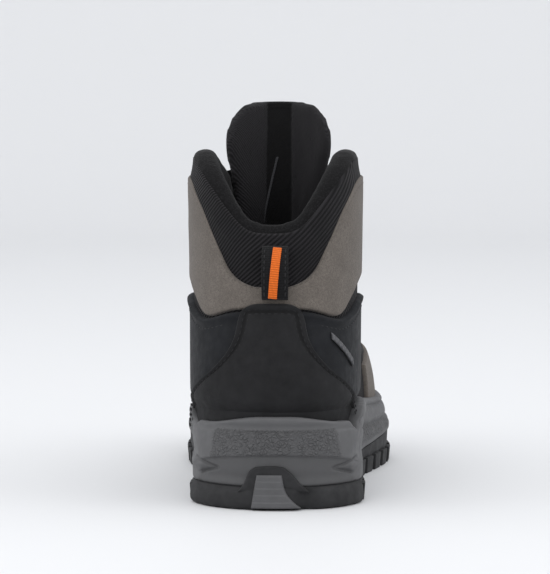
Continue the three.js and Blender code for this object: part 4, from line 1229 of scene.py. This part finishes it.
class BOOT_OT_toe(bpy.types.Operator):
    """Nubuck toe box with the rubber rand around it and its stitches"""

    bl_idname = "boot.toe"
    bl_label = "Toe"

    def execute(self, context):
        def toe_place(s, t):
            return toe_dome(mix(-90, 90, s), 89.2 * t)

        def rand_place(s, t, past=0.0):
            return toe_dome(mix(-90, 90, s), mix(38.0, 26.0, np.abs(2 * s - 1) ** 2) * t + past)

        def ribs(along, up, edge, p):
            return 0.35 * np.sin(along / 1.6) * ease(up, 3, 6) * (1 - ease(up, 15, 18)) * ease(edge, 1.5, 4)

        layer("toe_panel", "toe_box", "leather_black", "nubuck", toe_place, 0.0, SHELL_OUT, (110, 60), 1.4,
              open_edges="abcd")
        layer("toe_rand_panel", "toe_rand", "rubber_black", "outsole", rand_place,
              OVERLAY[0], OVERLAY_OUT + 0.4, (260, 30), 1.5, relief=ribs, open_edges="c")
        sew("toe_stitching", lambda s, t: rand_place(s, t, 3.2), (0.02, 0.98, 200), 1.0,
            SHELL_OUT + THREAD_SINK)
        return {"FINISHED"}


class BOOT_OT_forefoot(bpy.types.Operator):
    """Suede panels beside the ball of the foot"""

    bl_idname = "boot.forefoot"
    bl_label = "Forefoot panels"

    def execute(self, context):
        for word, side in SIDES:
            def place(s, t):
                return vamp_section(mix(172.0, 226.0, s), side * mix(mix(56, 44, s), 89.5, t))
            layer(f"forefoot_suede_{word}", f"forefoot_panel_{word}", "suede_grey", "suede", place,
                  *OVERLAY, (60, 34), 1.2, open_edges="d")
        return {"FINISHED"}


class BOOT_OT_eyestays(bpy.types.Operator):
    """Leather eyestays beside the lace opening, and the gussets under them"""

    bl_idname = "boot.eyestays"
    bl_label = "Eyestays"

    def execute(self, context):
        for word, side in SIDES:
            place = side_place(side, 0.25, 0.868, 0.6, 20)
            layer(f"eyestay_panel_{word}", f"eyestay_{word}", "leather_black", "nubuck", place,
                  *OVERLAY, (120, 20), 1.3)
            for number, share in ((1, 0.16), (2, 0.86)):
                sew(f"eyestay_stitching_{word}_{number}", place, (0.03, 0.97, 200), share,
                    OVERLAY_OUT - THREAD_SINK)
            layer(f"gusset_fold_{word}", f"gusset_{word}", "textile_black", "knit",
                  side_place(side, 0.27, 0.8, -1.5, 9), -2.6, -1.4, (50, 10), 0.5)
        return {"FINISHED"}


# ---------------------------------------------------------------- collar, lining and tongue
def closed_spline(points, count):
    """A smooth closed loop through points, with an even number of samples."""
    p = np.asarray(points, float)
    total = len(p)
    t = np.linspace(0, total, count, endpoint=False)
    i = np.floor(t).astype(int)
    f = (t - i)[:, None]
    a, b, c, d = (p[(i + k) % total] for k in (-1, 0, 1, 2))
    return 0.5 * (2 * b + (c - a) * f + (2 * a - 5 * b + 4 * c - d) * f**2 + (3 * b - a - 3 * c + d) * f**3)


# How far the roll's knit runs down the outside, from the back round to the front.
skirt_drop = curve((0, 20), (20, 17), (40, 11), (60, 7.5), (90, 6), (120, 6), (157, 9))
COLLAR_SECTION = (
    (-12.0, 0.0), (-10.6, 1.9), (-8.0, 2.2), (-4.6, 1.0), (-1.6, -1.2), (0.6, -4.0), (-0.2, -7.2),
    (-3.4, -9.4), (-9.0, -10.2), (-20.0, -9.8), (-36.0, -9.0), (-38.0, -7.2), (-22.0, -5.6), (-12.8, -2.4),
)
LINING_LOW = 34
COLLAR_CORE = -1.8  # height of the roll's core, which its ends taper to


class BOOT_OT_collar(bpy.types.Operator):
    """Padded collar: a knit roll over the rim"""

    bl_idname = "boot.collar"
    bl_label = "Collar roll"

    def execute(self, context):
        section = closed_spline(COLLAR_SECTION, 72)
        turns = np.linspace(-COLLAR_TURN, COLLAR_TURN, 221)
        turn = turns[:, None] * np.ones((1, len(section)))
        taper = 1 - 0.72 * ease(np.abs(turn), COLLAR_TURN - 14, COLLAR_TURN)
        drop = section[None, :, 0] * mix(1.0, taper, 0.6)
        height = COLLAR_CORE + (section[None, :, 1] - COLLAR_CORE) * taper
        wide = skirt_drop(np.abs(turn)) / 12
        z = rim(np.abs(turn)) + np.where(drop > -12, drop * wide, drop)
        p, n = around_heel(turn, z)
        points = to_frame((p + n * height[..., None]).reshape(-1, 3))
        roll = new_object("collar_roll", points, tube_faces(*turn.shape), finish_of("knit"))
        fix_normals(roll)
        plump(roll, voxel=0.0022, pressure=2.0, cap=1.2)
        finish_piece(roll, "boot", "lining_black", "collar_foam")
        return {"FINISHED"}


class BOOT_OT_lining(bpy.types.Operator):
    """Knit lining below the collar and along both sides"""

    bl_idname = "boot.lining"
    bl_label = "Lining"

    def execute(self, context):
        def sock(s, t):
            return -8.9 + 4.1 * (1 - ease(mix(40, 120, t), 60, 84))

        def cup(along, up, edge, p):
            rise = ease(p[..., 2], 60, 84)
            return -2.4 * rise + 1.8 * (1 - rise)

        around = heel_place(-COLLAR_TURN, COLLAR_TURN, lambda turn: LINING_LOW + 0 * turn,
                            lambda turn: rim(turn) - 26)
        layer("heel_lining_knit", "heel_lining", "lining_black", "knit", around, sock, -6.0, (130, 50), 1.0,
              relief=cup)
        for word, side in SIDES:
            layer(f"side_lining_knit_{word}", f"side_lining_{word}", "lining_black", "knit",
                  side_place(side, 0.2, 0.88, 6), -2.7, -1.1, (50, 30), 0.8)
        return {"FINISHED"}


SWELL_FRAMES = 20


def apply_modifier(obj, kind, **settings):
    """Run one modifier on the active object and keep its result."""
    modifier = obj.modifiers.new(kind.lower(), kind)
    for key, value in settings.items():
        setattr(modifier, key, value)
    bpy.ops.object.modifier_apply(modifier=modifier.name)


def plump(obj, voxel, pressure, cap):
    """Swell a padded piece by cloth simulation, and cap how far each point moves."""
    bpy.context.view_layer.objects.active = obj
    obj.select_set(True)
    apply_modifier(obj, "REMESH", mode="VOXEL", voxel_size=voxel)
    start = points_of(obj)
    cloth = obj.modifiers.new("cloth", "CLOTH")
    settings = cloth.settings
    settings.use_pressure = True
    settings.uniform_pressure_force = pressure
    settings.effector_weights.gravity = 0
    settings.mass = 0.15
    settings.tension_stiffness = settings.compression_stiffness = 12
    settings.bending_stiffness = 0.4
    settings.quality = 4
    scene = bpy.context.scene
    cloth.point_cache.frame_start, cloth.point_cache.frame_end = 1, SWELL_FRAMES
    for step in range(1, SWELL_FRAMES + 1):
        scene.frame_set(step)
    moved = points_of(obj.evaluated_get(bpy.context.evaluated_depsgraph_get())) - start
    obj.modifiers.remove(cloth)
    scene.frame_set(1)
    length = np.linalg.norm(moved, axis=1, keepdims=True) + 1e-12
    limit = cap * MM
    moved *= np.tanh(length / limit) * limit / length
    obj.data.vertices.foreach_set("co", (start + moved).ravel())
    obj.data.update()
    apply_modifier(obj, "SMOOTH", factor=0.5, iterations=6)
    apply_modifier(obj, "SUBSURF", levels=1, render_levels=1)
    obj.data.shade_smooth()
    obj.select_set(False)


def padded_faces(name, place, low, high, size, material, roll=2.6):
    """A closed pad between two raises, rounded at every edge, with its place stored on its points."""
    s, t = np.meshgrid(refined(size[0], 0.05), refined(size[1], 0.03), indexing="ij")
    p, n = place(s, t)
    along, up = run_length(p, 0), run_length(p, 1)
    edge = np.minimum(np.minimum(along, along[-1:] - along), np.minimum(up, up[:, -1:] - up))
    round_off = rounded(edge, roll)
    middle, half = (low + high) / 2, (high - low) / 2
    outer = p + n * (middle + half * round_off)[..., None]
    inner = p + n * (middle - half * np.maximum(round_off, 0.02))[..., None]
    obj = grid_body(name, outer, inner, material, along - along[-1:] / 2, up, edge)
    set_attribute(obj, "inside", np.repeat([0.0, 1.0], p.shape[0] * p.shape[1]))
    return obj


PLACE_VALUES = ("along", "up", "edge", "inside")
TONGUE_HINGE = (0.835, 0.915)  # where across the foot the tongue's hinge starts and stops; the tongue is not folded there
TAPE_SPAN = (0.755, 0.893)
TAPE_TURNS = (-13.0, -1.0)  # where the tape on the tongue's seam starts and ends across the tongue


class BOOT_OT_tongue(bpy.types.Operator):
    """Padded tongue with two halves and a channel between them, and the tape on its seam"""

    bl_idname = "boot.tongue"
    bl_label = "Tongue"

    def execute(self, context):
        def place(s, t):
            share = mix(0.27, 1.0, t)
            corner = 1 - np.clip((share - 0.9125) / 0.0875, 0, 1) ** 2.6 * 0.46
            return across_foot(share, mix(-1, 1, s) * tongue_turn(share) * corner)

        def tape_place(s, t):
            return across_foot(mix(*TAPE_SPAN, t), mix(*TAPE_TURNS, t) + mix(-0.9, 0.9, s))

        tongue = padded_faces("tongue_pad", place, -8.9, -3.3, (60, 150), finish_of("tongue"))
        carried = stored_places(tongue)
        plump(tongue, voxel=0.0020, pressure=3.0, cap=1.2)
        carry_places(tongue, carried)
        self.channel(tongue)
        tape = panel("tongue_seam_tape", tape_place, -7.4, -9.3, (8, 60), 0.4, "tape")
        hinge, _ = across_foot(np.array(TONGUE_HINGE), np.zeros(2))
        for piece, slot, replaced in ((tongue, "textile_black", ("tongue_upper", "tongue_lower")),
                                      (tape, "tape_grey", ("tongue_tape",))):
            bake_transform(piece)
            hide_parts(*replaced)
        return {"FINISHED"}

    def channel(self, obj):
        """Press in the channel between the padded halves, and its two seams."""
        co, values = stored_places(obj)
        normals = np.array([v.normal for v in obj.data.vertices])
        side = np.abs(values["along"])
        seam = 1.1 * bell(side, 8.6, 1.0)
        floor = 1.3 * (1 - ease(side, 6.8, 8.8))
        cushion = 0.6 * bell(side, 18, 8)
        depth = (seam + floor - cushion) * np.clip(values["inside"], 0, 1)
        depth = depth * ease(values["up"], 30, 60) * ease(values["edge"], 1.0, 5.5)
        obj.data.vertices.foreach_set("co", (co - normals * depth[:, None] * MM).ravel())
        obj.data.update()


def stored_places(obj):
    """Vertex positions of a piece, with its stored place values."""
    values = {}
    for name in PLACE_VALUES:
        values[name] = np.empty(len(obj.data.vertices), np.float32)
        obj.data.attributes[name].data.foreach_get("value", values[name])
    return points_of(obj), values


def carry_places(obj, carried):
    """Give a remeshed piece the place values of the nearest points that it was made from."""
    source, values = carried
    tree = kdtree.KDTree(len(source))
    for index, point in enumerate(source):
        tree.insert(point, index)
    tree.balance()
    found = [tree.find_n(v.co, 3) for v in obj.data.vertices]
    near = np.array([[hit[1] for hit in hits] for hits in found])
    weight = 1 / (np.array([[hit[2] for hit in hits] for hits in found]) + 1e-5)
    weight /= weight.sum(axis=1, keepdims=True)
    for name, value in values.items():
        old = obj.data.attributes.get(name)
        if old is not None:
            obj.data.attributes.remove(old)
        set_attribute(obj, name, (value[near] * weight).sum(axis=1))


# ---------------------------------------------------------------- lacing
ROWS = (0.3, 0.385, 0.47, 0.555, 0.64, 0.735, 0.82)
FIRST_HOOK = 4
RING_HALF = (4.5, 3.7)
RING_LENGTH = 5
RING_RAISE = TOP_LOW + RING_HALF[1]
LEAF_HALF = 0.55  # half the thickness of a loop's webbing and of a hook's steel
KNOT_SHARE = 0.85
KNOT_RAISE = 6.6


def ring_turn(row):
    """How far round from the middle line a row's loops and hooks stand."""
    return float(throat_turn(ROWS[row])) + 9


def local_frame(share, turn):
    """A place on the upper, and the directions across, up the boot and out."""
    p, n = across_foot(np.array([share - 0.01, share, share + 0.01]), np.full(3, float(turn)))
    out = n[1]
    up = (p[2] - p[0]) / np.linalg.norm(p[2] - p[0])
    across = np.cross(up, out)
    across /= np.linalg.norm(across)
    return p[1], across, np.cross(out, across), out


def over_foot(share, turn, raise_by):
    """A point above the upper."""
    p, n = across_foot(np.array([share]), np.array([float(turn)]))
    return p[0] + n[0] * raise_by


def swept(name, path, half_wide, half_thick, kind, sides=14, outs=None, step=0.7):
    """A band or cord swept along a smooth path in last millimetres, its wide face turned to outs."""
    path = np.asarray(path, float)
    total = run_length(path, 0)
    at = np.linspace(0, total[-1], max(4, int(total[-1] / step)))
    line = smooth_path(path, at / total[-1])
    run = unit(np.gradient(line, axis=0))
    if outs is None:
        guide = np.tile([0.3, -0.2, 1.0], (len(line), 1))
    else:
        guide = np.stack([np.interp(at, total, np.asarray(outs)[:, k]) for k in range(3)], -1)
    wide = unit(np.cross(run, guide))
    thick = np.cross(wide, run)
    angle = np.linspace(0, 2 * math.pi, sides, endpoint=False)
    is_round = half_wide == half_thick
    power = 1.0 if is_round else 0.45
    cos, sin = (np.sign(f(angle)) * np.abs(f(angle)) ** power for f in (np.cos, np.sin))
    rings = (line[:, None] + wide[:, None] * (cos * half_wide)[None, :, None]
             + thick[:, None] * (sin * half_thick)[None, :, None])
    obj = new_object(name, to_frame(rings.reshape(-1, 3)), tube_faces(len(line), sides), finish_of(kind))
    length = np.linspace(0, run_length(line, 0)[-1], len(line))
    set_attribute(obj, "up", np.repeat(length, sides))
    set_attribute(obj, "along", np.tile((angle if is_round else cos) * half_wide, len(line)))
    return fix_normals(obj)


def smooth_path(points, shares):
    """Points of a centripetal spline through points, at shares of its length."""
    p = np.concatenate([[2 * points[0] - points[1]], points, [2 * points[-1] - points[-2]]])
    gap = np.sqrt(np.linalg.norm(np.diff(p, axis=0), axis=1)) + 1e-6
    knots = np.concatenate([[0], np.cumsum(gap)])
    length = run_length(points, 0) / run_length(points, 0)[-1]
    out = []
    for share in shares:
        i = int(np.clip(np.searchsorted(length, share, side="right") - 1, 0, len(points) - 2))
        f = (share - length[i]) / max(1e-9, length[i + 1] - length[i])
        t0, t1, t2, t3 = knots[i:i + 4]
        t = t1 + f * (t2 - t1)
        p0, p1, p2, p3 = p[i:i + 4]
        a1 = (t1 - t) / (t1 - t0) * p0 + (t - t0) / (t1 - t0) * p1
        a2 = (t2 - t) / (t2 - t1) * p1 + (t - t1) / (t2 - t1) * p2
        a3 = (t3 - t) / (t3 - t2) * p2 + (t - t2) / (t3 - t2) * p3
        b1 = (t2 - t) / (t2 - t0) * a1 + (t - t0) / (t2 - t0) * a2
        b2 = (t3 - t) / (t3 - t1) * a2 + (t - t1) / (t3 - t1) * a3
        out.append((t2 - t) / (t2 - t1) * b1 + (t - t1) / (t2 - t1) * b2)
    return np.array(out)


OVER_RAISE, UNDER_RAISE = 11.22, 8.14  # the lace's middle at a crossing, over and under the other half
RING_REACH = 5.3  # the lace runs straight this far below and above each ring's middle


def lace_strand(first_side):
    """One half of the lace, from the row after the bottom bar up to the knot."""
    points = []
    side = first_side
    for row, share in enumerate(ROWS):
        here, _, up, out = local_frame(share, side * ring_turn(row))
        centre = here + out * RING_RAISE
        points += [centre + up * step for step in (-RING_REACH, 0, RING_REACH)]
        if row < len(ROWS) - 1:
            middle = (share + ROWS[row + 1]) / 2
            lift = OVER_RAISE if (row % 2 == 0) == (first_side == 1) else UNDER_RAISE
            edge = float(throat_turn(share)) * 0.45
            points.append(over_foot(mix(share, middle, 0.62), side * edge, lift))
            points.append(over_foot(mix(ROWS[row + 1], middle, 0.62), -side * edge, lift))
            side = -side
    knot, _, _, knot_out = local_frame(KNOT_SHARE, 0)
    bend = over_foot(ROWS[-1] + 0.022, side * 16, RING_RAISE + 1.2)
    points += [bend, mix(knot + knot_out * KNOT_RAISE, bend, 0.42)]
    return points


class BOOT_OT_lacing(bpy.types.Operator):
    """Webbing lace loops and steel hooks on both eyestays"""

    bl_idname = "boot.lacing"
    bl_label = "Loops and hooks"

    def execute(self, context):
        for word, side in SIDES:
            for row in range(len(ROWS)):
                build = self.loop if row < FIRST_HOOK else self.hook
                build(word, side, row)
        return {"FINISHED"}

    def loop(self, word, side, row):
        """A folded webbing loop that stands on the eyestay."""
        here, across, up, out = local_frame(ROWS[row], side * ring_turn(row))
        w, h = (reach - LEAF_HALF - 0.05 for reach in RING_HALF)
        corner = 1.4
        centre = here + out * RING_RAISE
        outline = closed_spline([
            (-w, -h + corner), (-w, h - corner), (-w + corner, h), (w - corner, h),
            (w, h - corner), (w, -h + corner), (w - corner, -h), (-w + corner, -h)], 48)
        path = np.array([centre + across * a + out * b for a, b in np.vstack([outline, outline[:1]])])
        node = f"lace_loop_{word}_{row + 1}"
        loop = swept(f"{node}_webbing", path, RING_LENGTH / 2, LEAF_HALF, "webbing", outs=unit(path - centre))
        finish_piece(loop, "boot", "webbing_black", node)

    def hook(self, word, side, row):
        """A bent steel hook, open towards the middle of the boot."""
        here, across, up, out = local_frame(ROWS[row], side * ring_turn(row))
        across = across * np.sign(across[0] * side)
        w, h = RING_HALF
        centre = here + out * RING_RAISE
        profile = [(-w, -h + 0.6), (0, -h + 0.6), (w - 1.8, -h + 0.7), (w - 0.6, -h + 2), (w - 0.6, 0),
                   (w - 0.6, h - 2), (w - 1.8, h - 0.7), (0, h - 0.6), (-w, h - 0.6)]
        path = np.array([centre + across * a + out * b for a, b in profile])
        node = f"lace_hook_{word}_{row - FIRST_HOOK + 1}"
        steel = swept(f"{node}_steel", path, RING_LENGTH / 2, LEAF_HALF, "metal",
                      outs=np.cross(up, np.gradient(path, axis=0)), step=0.4)
        finish_piece(steel, "boot", "steel", node)


class BOOT_OT_lace(bpy.types.Operator):
    """The braided lace, its knot and its tucked tails"""

    bl_idname = "boot.lace"
    bl_label = "Lace"

    def execute(self, context):
        half = sizes().lace_diameter / MM / 2
        bar = [over_foot(ROWS[0] - 0.03, turn, RING_RAISE + 1.2) for turn in (-9, 9)]
        pieces = {"lace": ("lace_braided", lace_strand(-1)[::-1] + bar + lace_strand(1), half, 0.6),
                  "lace_knot": ("lace_knot_braided", self.knot(), half, 0.7)}
        for word, side in SIDES:
            tail = [over_foot(share, side * (4.5 + 2.2 * k), -0.6)
                    for k, share in enumerate((0.825, 0.785, 0.745, 0.705, 0.665))]
            pieces[f"lace_tail_{word}"] = (f"lace_tail_braided_{word}", tail, half - 0.2, 0.7)
        for node, (name, path, radius, step) in pieces.items():
            finish_piece(swept(name, path, radius, radius, "lace", step=step), "boot", "lace_black", node)
        return {"FINISHED"}

    def knot(self):
        """A tight round knot over the tongue: crossing turns of the lace."""
        here, across, up, out = local_frame(KNOT_SHARE, 0)
        centre = here + out * (KNOT_RAISE - 1)
        return [centre + across * (4.6 * math.sin(a) + 0.8 * math.sin(2 * a))
                + up * (2.5 * math.sin(2 * a)) + out * (1.9 * math.cos(3 * a))
                for a in np.linspace(0, 2 * math.pi, 90)]


# ---------------------------------------------------------------- pull loop and side mark
LOOP_BASE = 98
LOOP_HEIGHT = 27
LOOP_WIDTH = 12.5
WEB = 1.2
LOOP_RAISE = OVERLAY_OUT + 0.9
LOOP_OPEN = 6.5
STRIPE = 4.2
LOOP_ASIDE = 1.8  # the loop is sewn this far to the outer side of the heel seam


def loop_leaf(share, inset, outer):
    """Raise of the pull loop's leaf over the lining line, share 0 at its base and 1 at its top."""
    belly = (LOOP_OPEN + 2 * WEB) * np.sin(math.pi * np.clip(0.12 + 0.8 * share, 0, 1)) ** 0.6
    flat = LOOP_RAISE + inset - 1.2 * share
    return flat + belly - 2 * inset if outer else flat


class BOOT_OT_pull_loop(bpy.types.Operator):
    """Folded webbing pull loop at the heel with its orange stripe and bar stitches"""

    bl_idname = "boot.pull_loop"
    bl_label = "Pull loop"

    def execute(self, context):
        inset = WEB / 2
        inner, outer = (self.leaf(inset, 0.0, 1.0, is_outer, 0.0) for is_outer in (False, True))
        arch = (inner[-1] + outer[-1]) / 2 + [0, 0, 0.6]
        path = np.concatenate([inner, [arch], outer[::-1]])
        web = swept("pull_loop_webbing", path, LOOP_WIDTH / 2, WEB / 2, "webbing", sides=20,
                    outs=path - path.mean(axis=0), step=0.6)
        finish_piece(web, "pull_loop", "webbing_black", "pull_loop")
        line = self.leaf(0.0, 0.0, 0.99, True, 0.45)
        line[:, 0] += np.linspace(-1.1, 1.1, len(line))
        stripe = swept("pull_loop_stripe_weave", line, STRIPE / 2, 0.35, "stripe", sides=16,
                       outs=np.tile([0.0, -1.0, 0.15], (len(line), 1)), step=0.6)
        finish_piece(stripe, "pull_loop", "webbing_orange", "pull_loop_stripe")
        base = self.leaf(0.0, 0.04, 0.96, True, 0.05)
        normals = np.tile([0.0, -1.0, 0.1], (len(base), 1))
        for number, across in ((1, -5.0), (2, 5.0)):
            stitch_row(f"pull_loop_stitching_{number}", base + [across, 0, 0], normals,
                       slot="webbing_black", body="pull_loop", radius=0.3)
        return {"FINISHED"}

    def leaf(self, inset, low, high, is_outer, proud):
        """Points up one leaf of the loop, between two shares of its height."""
        share = np.linspace(low, high, 24)
        z = LOOP_BASE + 1 + (LOOP_HEIGHT - 1 - inset) * share
        p, n = around_heel(np.zeros(len(z)), z)
        height = loop_leaf(share, inset, is_outer) + proud
        return p + n * height[:, None] + [LOOP_ASIDE, 0, 0]


class BOOT_OT_side_mark(bpy.types.Operator):
    """Plain slanting metal bar on the outer side of the heel"""

    bl_idname = "boot.side_mark"
    bl_label = "Side mark"

    def execute(self, context):
        def place(s, t):
            return around_heel(mix(32.5, 53.0, s), mix(81.5, 68.0, s) + 3.6 * (t - 0.5))

        def beads(along, up, edge, p):
            return 0.35 * np.sin(along * 2 * math.pi / 3.1) * ease(edge, 0.4, 1.2)

        layer("side_mark_bar", "side_mark", "steel", "metal", place, 4.0, 5.3, (60, 14), 0.8,
              relief=beads, fine=0.1)
        return {"FINISHED"}


# ---------------------------------------------------------------- inside of the boot
FOOTBED_DROP = 11
INSOLE_LOW, INSOLE_HIGH = 2.6, 7.1  # over the footbed
INSOLE_INSET = 15
INSOLE_ROUND = 1.2


class BOOT_OT_insole(bpy.types.Operator):
    """Insole with its fabric cover"""

    bl_idname = "boot.insole"
    bl_label = "Insole"

    def execute(self, context):
        plan, out, _ = sole_outline(260)
        base = feather(plan[:, 1]) - FOOTBED_DROP
        low, high, soft = INSOLE_LOW, INSOLE_HIGH, INSOLE_ROUND
        section = ((8, low), (0.7, low), (0.0, low + soft), (0.0, high - soft), (0.7, high), (8, high - 0.2))
        rings = [np.column_stack([plan - out * (INSOLE_INSET + inset), base + z]) for inset, z in section]
        insole = ring_body("insole_cover", rings, finish_of("knit"))
        finish_piece(insole, "insole", "lining_black", "insole")
        return {"FINISHED"}


class BOOT_OT_inside(bpy.types.Operator):
    """Materials of the pieces that stay hidden inside: board, shank, stiffener, puff and vamp lining"""

    bl_idname = "boot.inside"
    bl_label = "Inside"

    def execute(self, context):
        for name, kind in (("lasting_board", "board"), ("shank", "metal"), ("heel_stiffener", "board"),
                           ("toe_puff", "board"), ("vamp_lining", "knit")):
            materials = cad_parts[name].data.materials
            materials.clear()
            materials.append(finish_of(kind))
        return {"FINISHED"}


# ---------------------------------------------------------------- floor, backdrop, light and camera
# Lamp: place and aim from the back of the heel in metres, width in metres, power in watts.
LAMPS = {
    "key_light": ((-0.5, -1.5, 1.7), (0, 0.1, 0.08), 1.5, 8),
    "side_light": ((1.7, -0.5, 0.9), (0, 0.1, 0.1), 1.2, 4.5),
    "fill_light": ((-1.7, -0.6, 0.7), (0, 0.1, 0.1), 1.2, 4.5),
    "top_light": ((0.0, 0.3, 1.9), (0, 0.1, 0.1), 1.4, 3.5),
}
SWEEP_HALF, SWEEP_NEAR, SWEEP_FAR, SWEEP_ROUND, SWEEP_TOP = 5, -4, 2.6, 1.2, 5
CAMERA_HEIGHT = 0.192
CAMERA_AZIMUTH = math.radians(2.0)
AIM_ASIDE, AIM_HEIGHT = 0.002, 0.1065
LENS = 183


class BOOT_OT_stage(bpy.types.Operator):
    """Pale seamless floor and backdrop, soft studio lights and the camera behind the heel"""

    bl_idname = "boot.stage"
    bl_label = "Stage"

    def execute(self, context):
        context.scene.view_settings.view_transform = "Standard"
        self.sweep()
        self.world(context.scene)
        back = Vector(to_frame((0, 0, 0)))
        for name, (place, aim, size, power) in LAMPS.items():
            light = bpy.data.lights.new(name, "AREA")
            light.shape = "DISK"
            light.size = size
            light.energy = power
            self.aimed(name, light, back + Vector(place), back + Vector(aim))
        self.camera(context.scene, back)
        return {"FINISHED"}

    def aimed(self, name, data, place, aim):
        """A lamp or camera at a place, turned to look at its aim."""
        obj = linked(name, data)
        obj.location = place
        obj.rotation_mode = "QUATERNION"
        obj.rotation_quaternion = (aim - Vector(place)).to_track_quat("-Z", "Y")
        return obj

    def sweep(self):
        """Floor that curves up into a wall, well away from the boot."""
        bend = [(SWEEP_FAR + SWEEP_ROUND * math.sin(a), SWEEP_ROUND - SWEEP_ROUND * math.cos(a))
                for a in np.linspace(0, math.pi / 2, 16)]
        profile = [(SWEEP_NEAR, 0), *bend, (SWEEP_FAR + SWEEP_ROUND, SWEEP_TOP)]
        verts = [(x, y, z) for x in (-SWEEP_HALF, SWEEP_HALF) for y, z in profile]
        count = len(profile)
        faces = [(k + 1, k + count + 1, k + count, k) for k in range(count - 1)]
        paper = Shading("floor_paper", tint("floor"), 0.6)
        new_object("floor_sweep", verts, faces, paper.material)

    def world(self, scene):
        world = bpy.data.worlds.new("studio")
        world.use_nodes = True
        background = world.node_tree.nodes["Background"]
        background.inputs["Color"].default_value = (0.97, 0.98, 1.0, 1)
        background.inputs["Strength"].default_value = 1.22
        scene.world = world

    def camera(self, scene, back):
        data = bpy.data.cameras.new("camera")
        data.sensor_width = 36
        data.lens = LENS
        data.dof.use_dof = False
        distance = sizes().camera_distance
        aim = Vector((back.x + AIM_ASIDE, back.y, AIM_HEIGHT))
        place = (aim.x + distance * math.sin(CAMERA_AZIMUTH), back.y - distance * math.cos(CAMERA_AZIMUTH),
                 CAMERA_HEIGHT)
        scene.camera = self.aimed("camera", data, place, aim)


# ---------------------------------------------------------------- panel, registration and run
STEPS = (
    BOOT_OT_shell, BOOT_OT_suede, BOOT_OT_quarters, BOOT_OT_counter, BOOT_OT_midsole, BOOT_OT_outsole,
    BOOT_OT_heel_insert, BOOT_OT_vamp, BOOT_OT_toe, BOOT_OT_forefoot, BOOT_OT_eyestays, BOOT_OT_collar,
    BOOT_OT_lining, BOOT_OT_tongue, BOOT_OT_lacing, BOOT_OT_lace, BOOT_OT_pull_loop, BOOT_OT_side_mark,
    BOOT_OT_insole, BOOT_OT_inside, BOOT_OT_stage,
)


class BOOT_PT_builder(bpy.types.Panel):
    """Sizes, colours and build steps of the boot"""

    bl_label = "Boot"
    bl_idname = "BOOT_PT_builder"
    bl_space_type = "VIEW_3D"
    bl_region_type = "UI"
    bl_category = "Boot"

    def draw(self, context):
        layout = self.layout
        for group in (context.scene.boot_sizes, context.scene.boot_colours):
            box = layout.box()
            for name in group.__annotations__:
                box.prop(group, name)
        column = layout.column()
        for step in STEPS:
            column.operator(step.bl_idname)


CLASSES = (BootSizes, BootColours, *STEPS, BOOT_PT_builder)


def register():
    for cls in CLASSES:
        bpy.utils.register_class(cls)
    bpy.types.Scene.boot_sizes = bpy.props.PointerProperty(type=BootSizes)
    bpy.types.Scene.boot_colours = bpy.props.PointerProperty(type=BootColours)


def unregister():
    del bpy.types.Scene.boot_colours
    del bpy.types.Scene.boot_sizes
    for cls in reversed(CLASSES):
        bpy.utils.unregister_class(cls)


def main():
    register()
    for step in STEPS:
        getattr(bpy.ops.boot, step.bl_idname.split(".")[1])()


if __name__ == "__main__":
    main()
